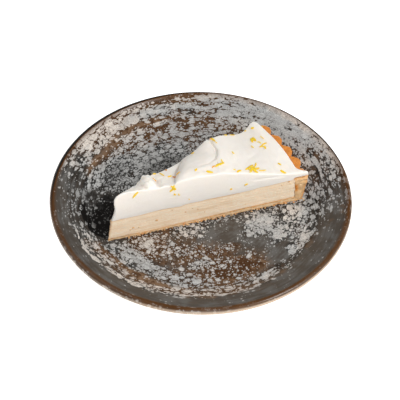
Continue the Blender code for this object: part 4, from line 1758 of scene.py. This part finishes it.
@dataclass
class Studio:
    """The floor, the lights and the camera."""

    aim: Triple = (-0.00066, 0.00993, 0.0)
    distance: float = 0.7
    elevation: float = math.radians(47.05)
    roll: float = math.radians(1.133)
    lens: float = 89.84
    sensor: float = 36.0
    near: float = 0.01
    lamp_distance: float = 1.1
    sky: float = 0.29
    floor_size: float = 4.0
    floor_drop: float = 0.0002

    def _hang(self, lamp: Lamp) -> None:
        """Hangs a square soft light that faces the plate.

        Args:
            lamp: The light.
        """
        made = bpy.data.lights.new(lamp.name, "AREA")
        made.size = lamp.size
        made.energy = lamp.power
        bearing, elevation = math.radians(lamp.bearing), math.radians(lamp.elevation)
        level = math.cos(elevation)
        away = Vector((math.cos(bearing) * level, math.sin(bearing) * level, math.sin(elevation)))
        holder = stand(lamp.name, made)
        holder.location = away * self.lamp_distance
        holder.rotation_euler = away.to_track_quat("Z", "Y").to_euler()

    def light(self) -> None:
        """Hangs the lamps and sets the even light all round."""
        for lamp in LAMPS:
            self._hang(lamp)
        world = bpy.data.worlds.new("studio")
        world.use_nodes = True
        back = world.node_tree.nodes["Background"].inputs
        back["Color"].default_value = (1.0, 1.0, 1.0, 1.0)
        back["Strength"].default_value = self.sky
        bpy.context.scene.world = world
        bpy.context.scene.view_settings.view_transform = "Standard"

    def lay_floor(self) -> None:
        """Lays a wide pale floor just under the plate's foot."""
        skin = bmesh.new()
        bmesh.ops.create_grid(skin, x_segments=4, y_segments=4, size=self.floor_size)
        bmesh.ops.translate(skin, verts=list(skin.verts), vec=(0.0, 0.0, -self.floor_drop))
        mesh = as_mesh("floor", skin)
        mesh.materials.append(StudioFloor().make())
        stand("floor", mesh)

    def set_camera(self) -> None:
        """Sets the camera above the front of the plate, rolled a little as in the photograph."""
        back = Vector((0.0, -math.cos(self.elevation), math.sin(self.elevation)))
        right = Vector((1.0, 0.0, 0.0))
        up = back.cross(right)
        turned_right = right * math.cos(self.roll) + up * math.sin(self.roll)
        turned_up = up * math.cos(self.roll) - right * math.sin(self.roll)
        lens = bpy.data.cameras.new("camera")
        lens.lens = self.lens
        lens.sensor_width = self.sensor
        lens.clip_start = self.near
        camera = stand("camera", lens)
        pose = Matrix((turned_right, turned_up, back)).transposed().to_4x4()
        pose.translation = Vector(self.aim) + back * self.distance
        camera.matrix_world = pose
        bpy.context.scene.camera = camera


def main() -> None:
    """Builds the plate, the slice on it and the studio."""
    logging.basicConfig(level=logging.INFO, format="%(message)s")
    studio = Studio()
    studio.set_camera()
    studio.lay_floor()
    studio.light()
    place = SlicePlace()
    Plate().build()
    PastryCase(place).build()
    filling = Filling(place)
    filling.build()
    cream = Cream(place, filling).build()
    Zest(place, cream).build()
    Crumbs(place).build()


if __name__ == "__main__":
    main()
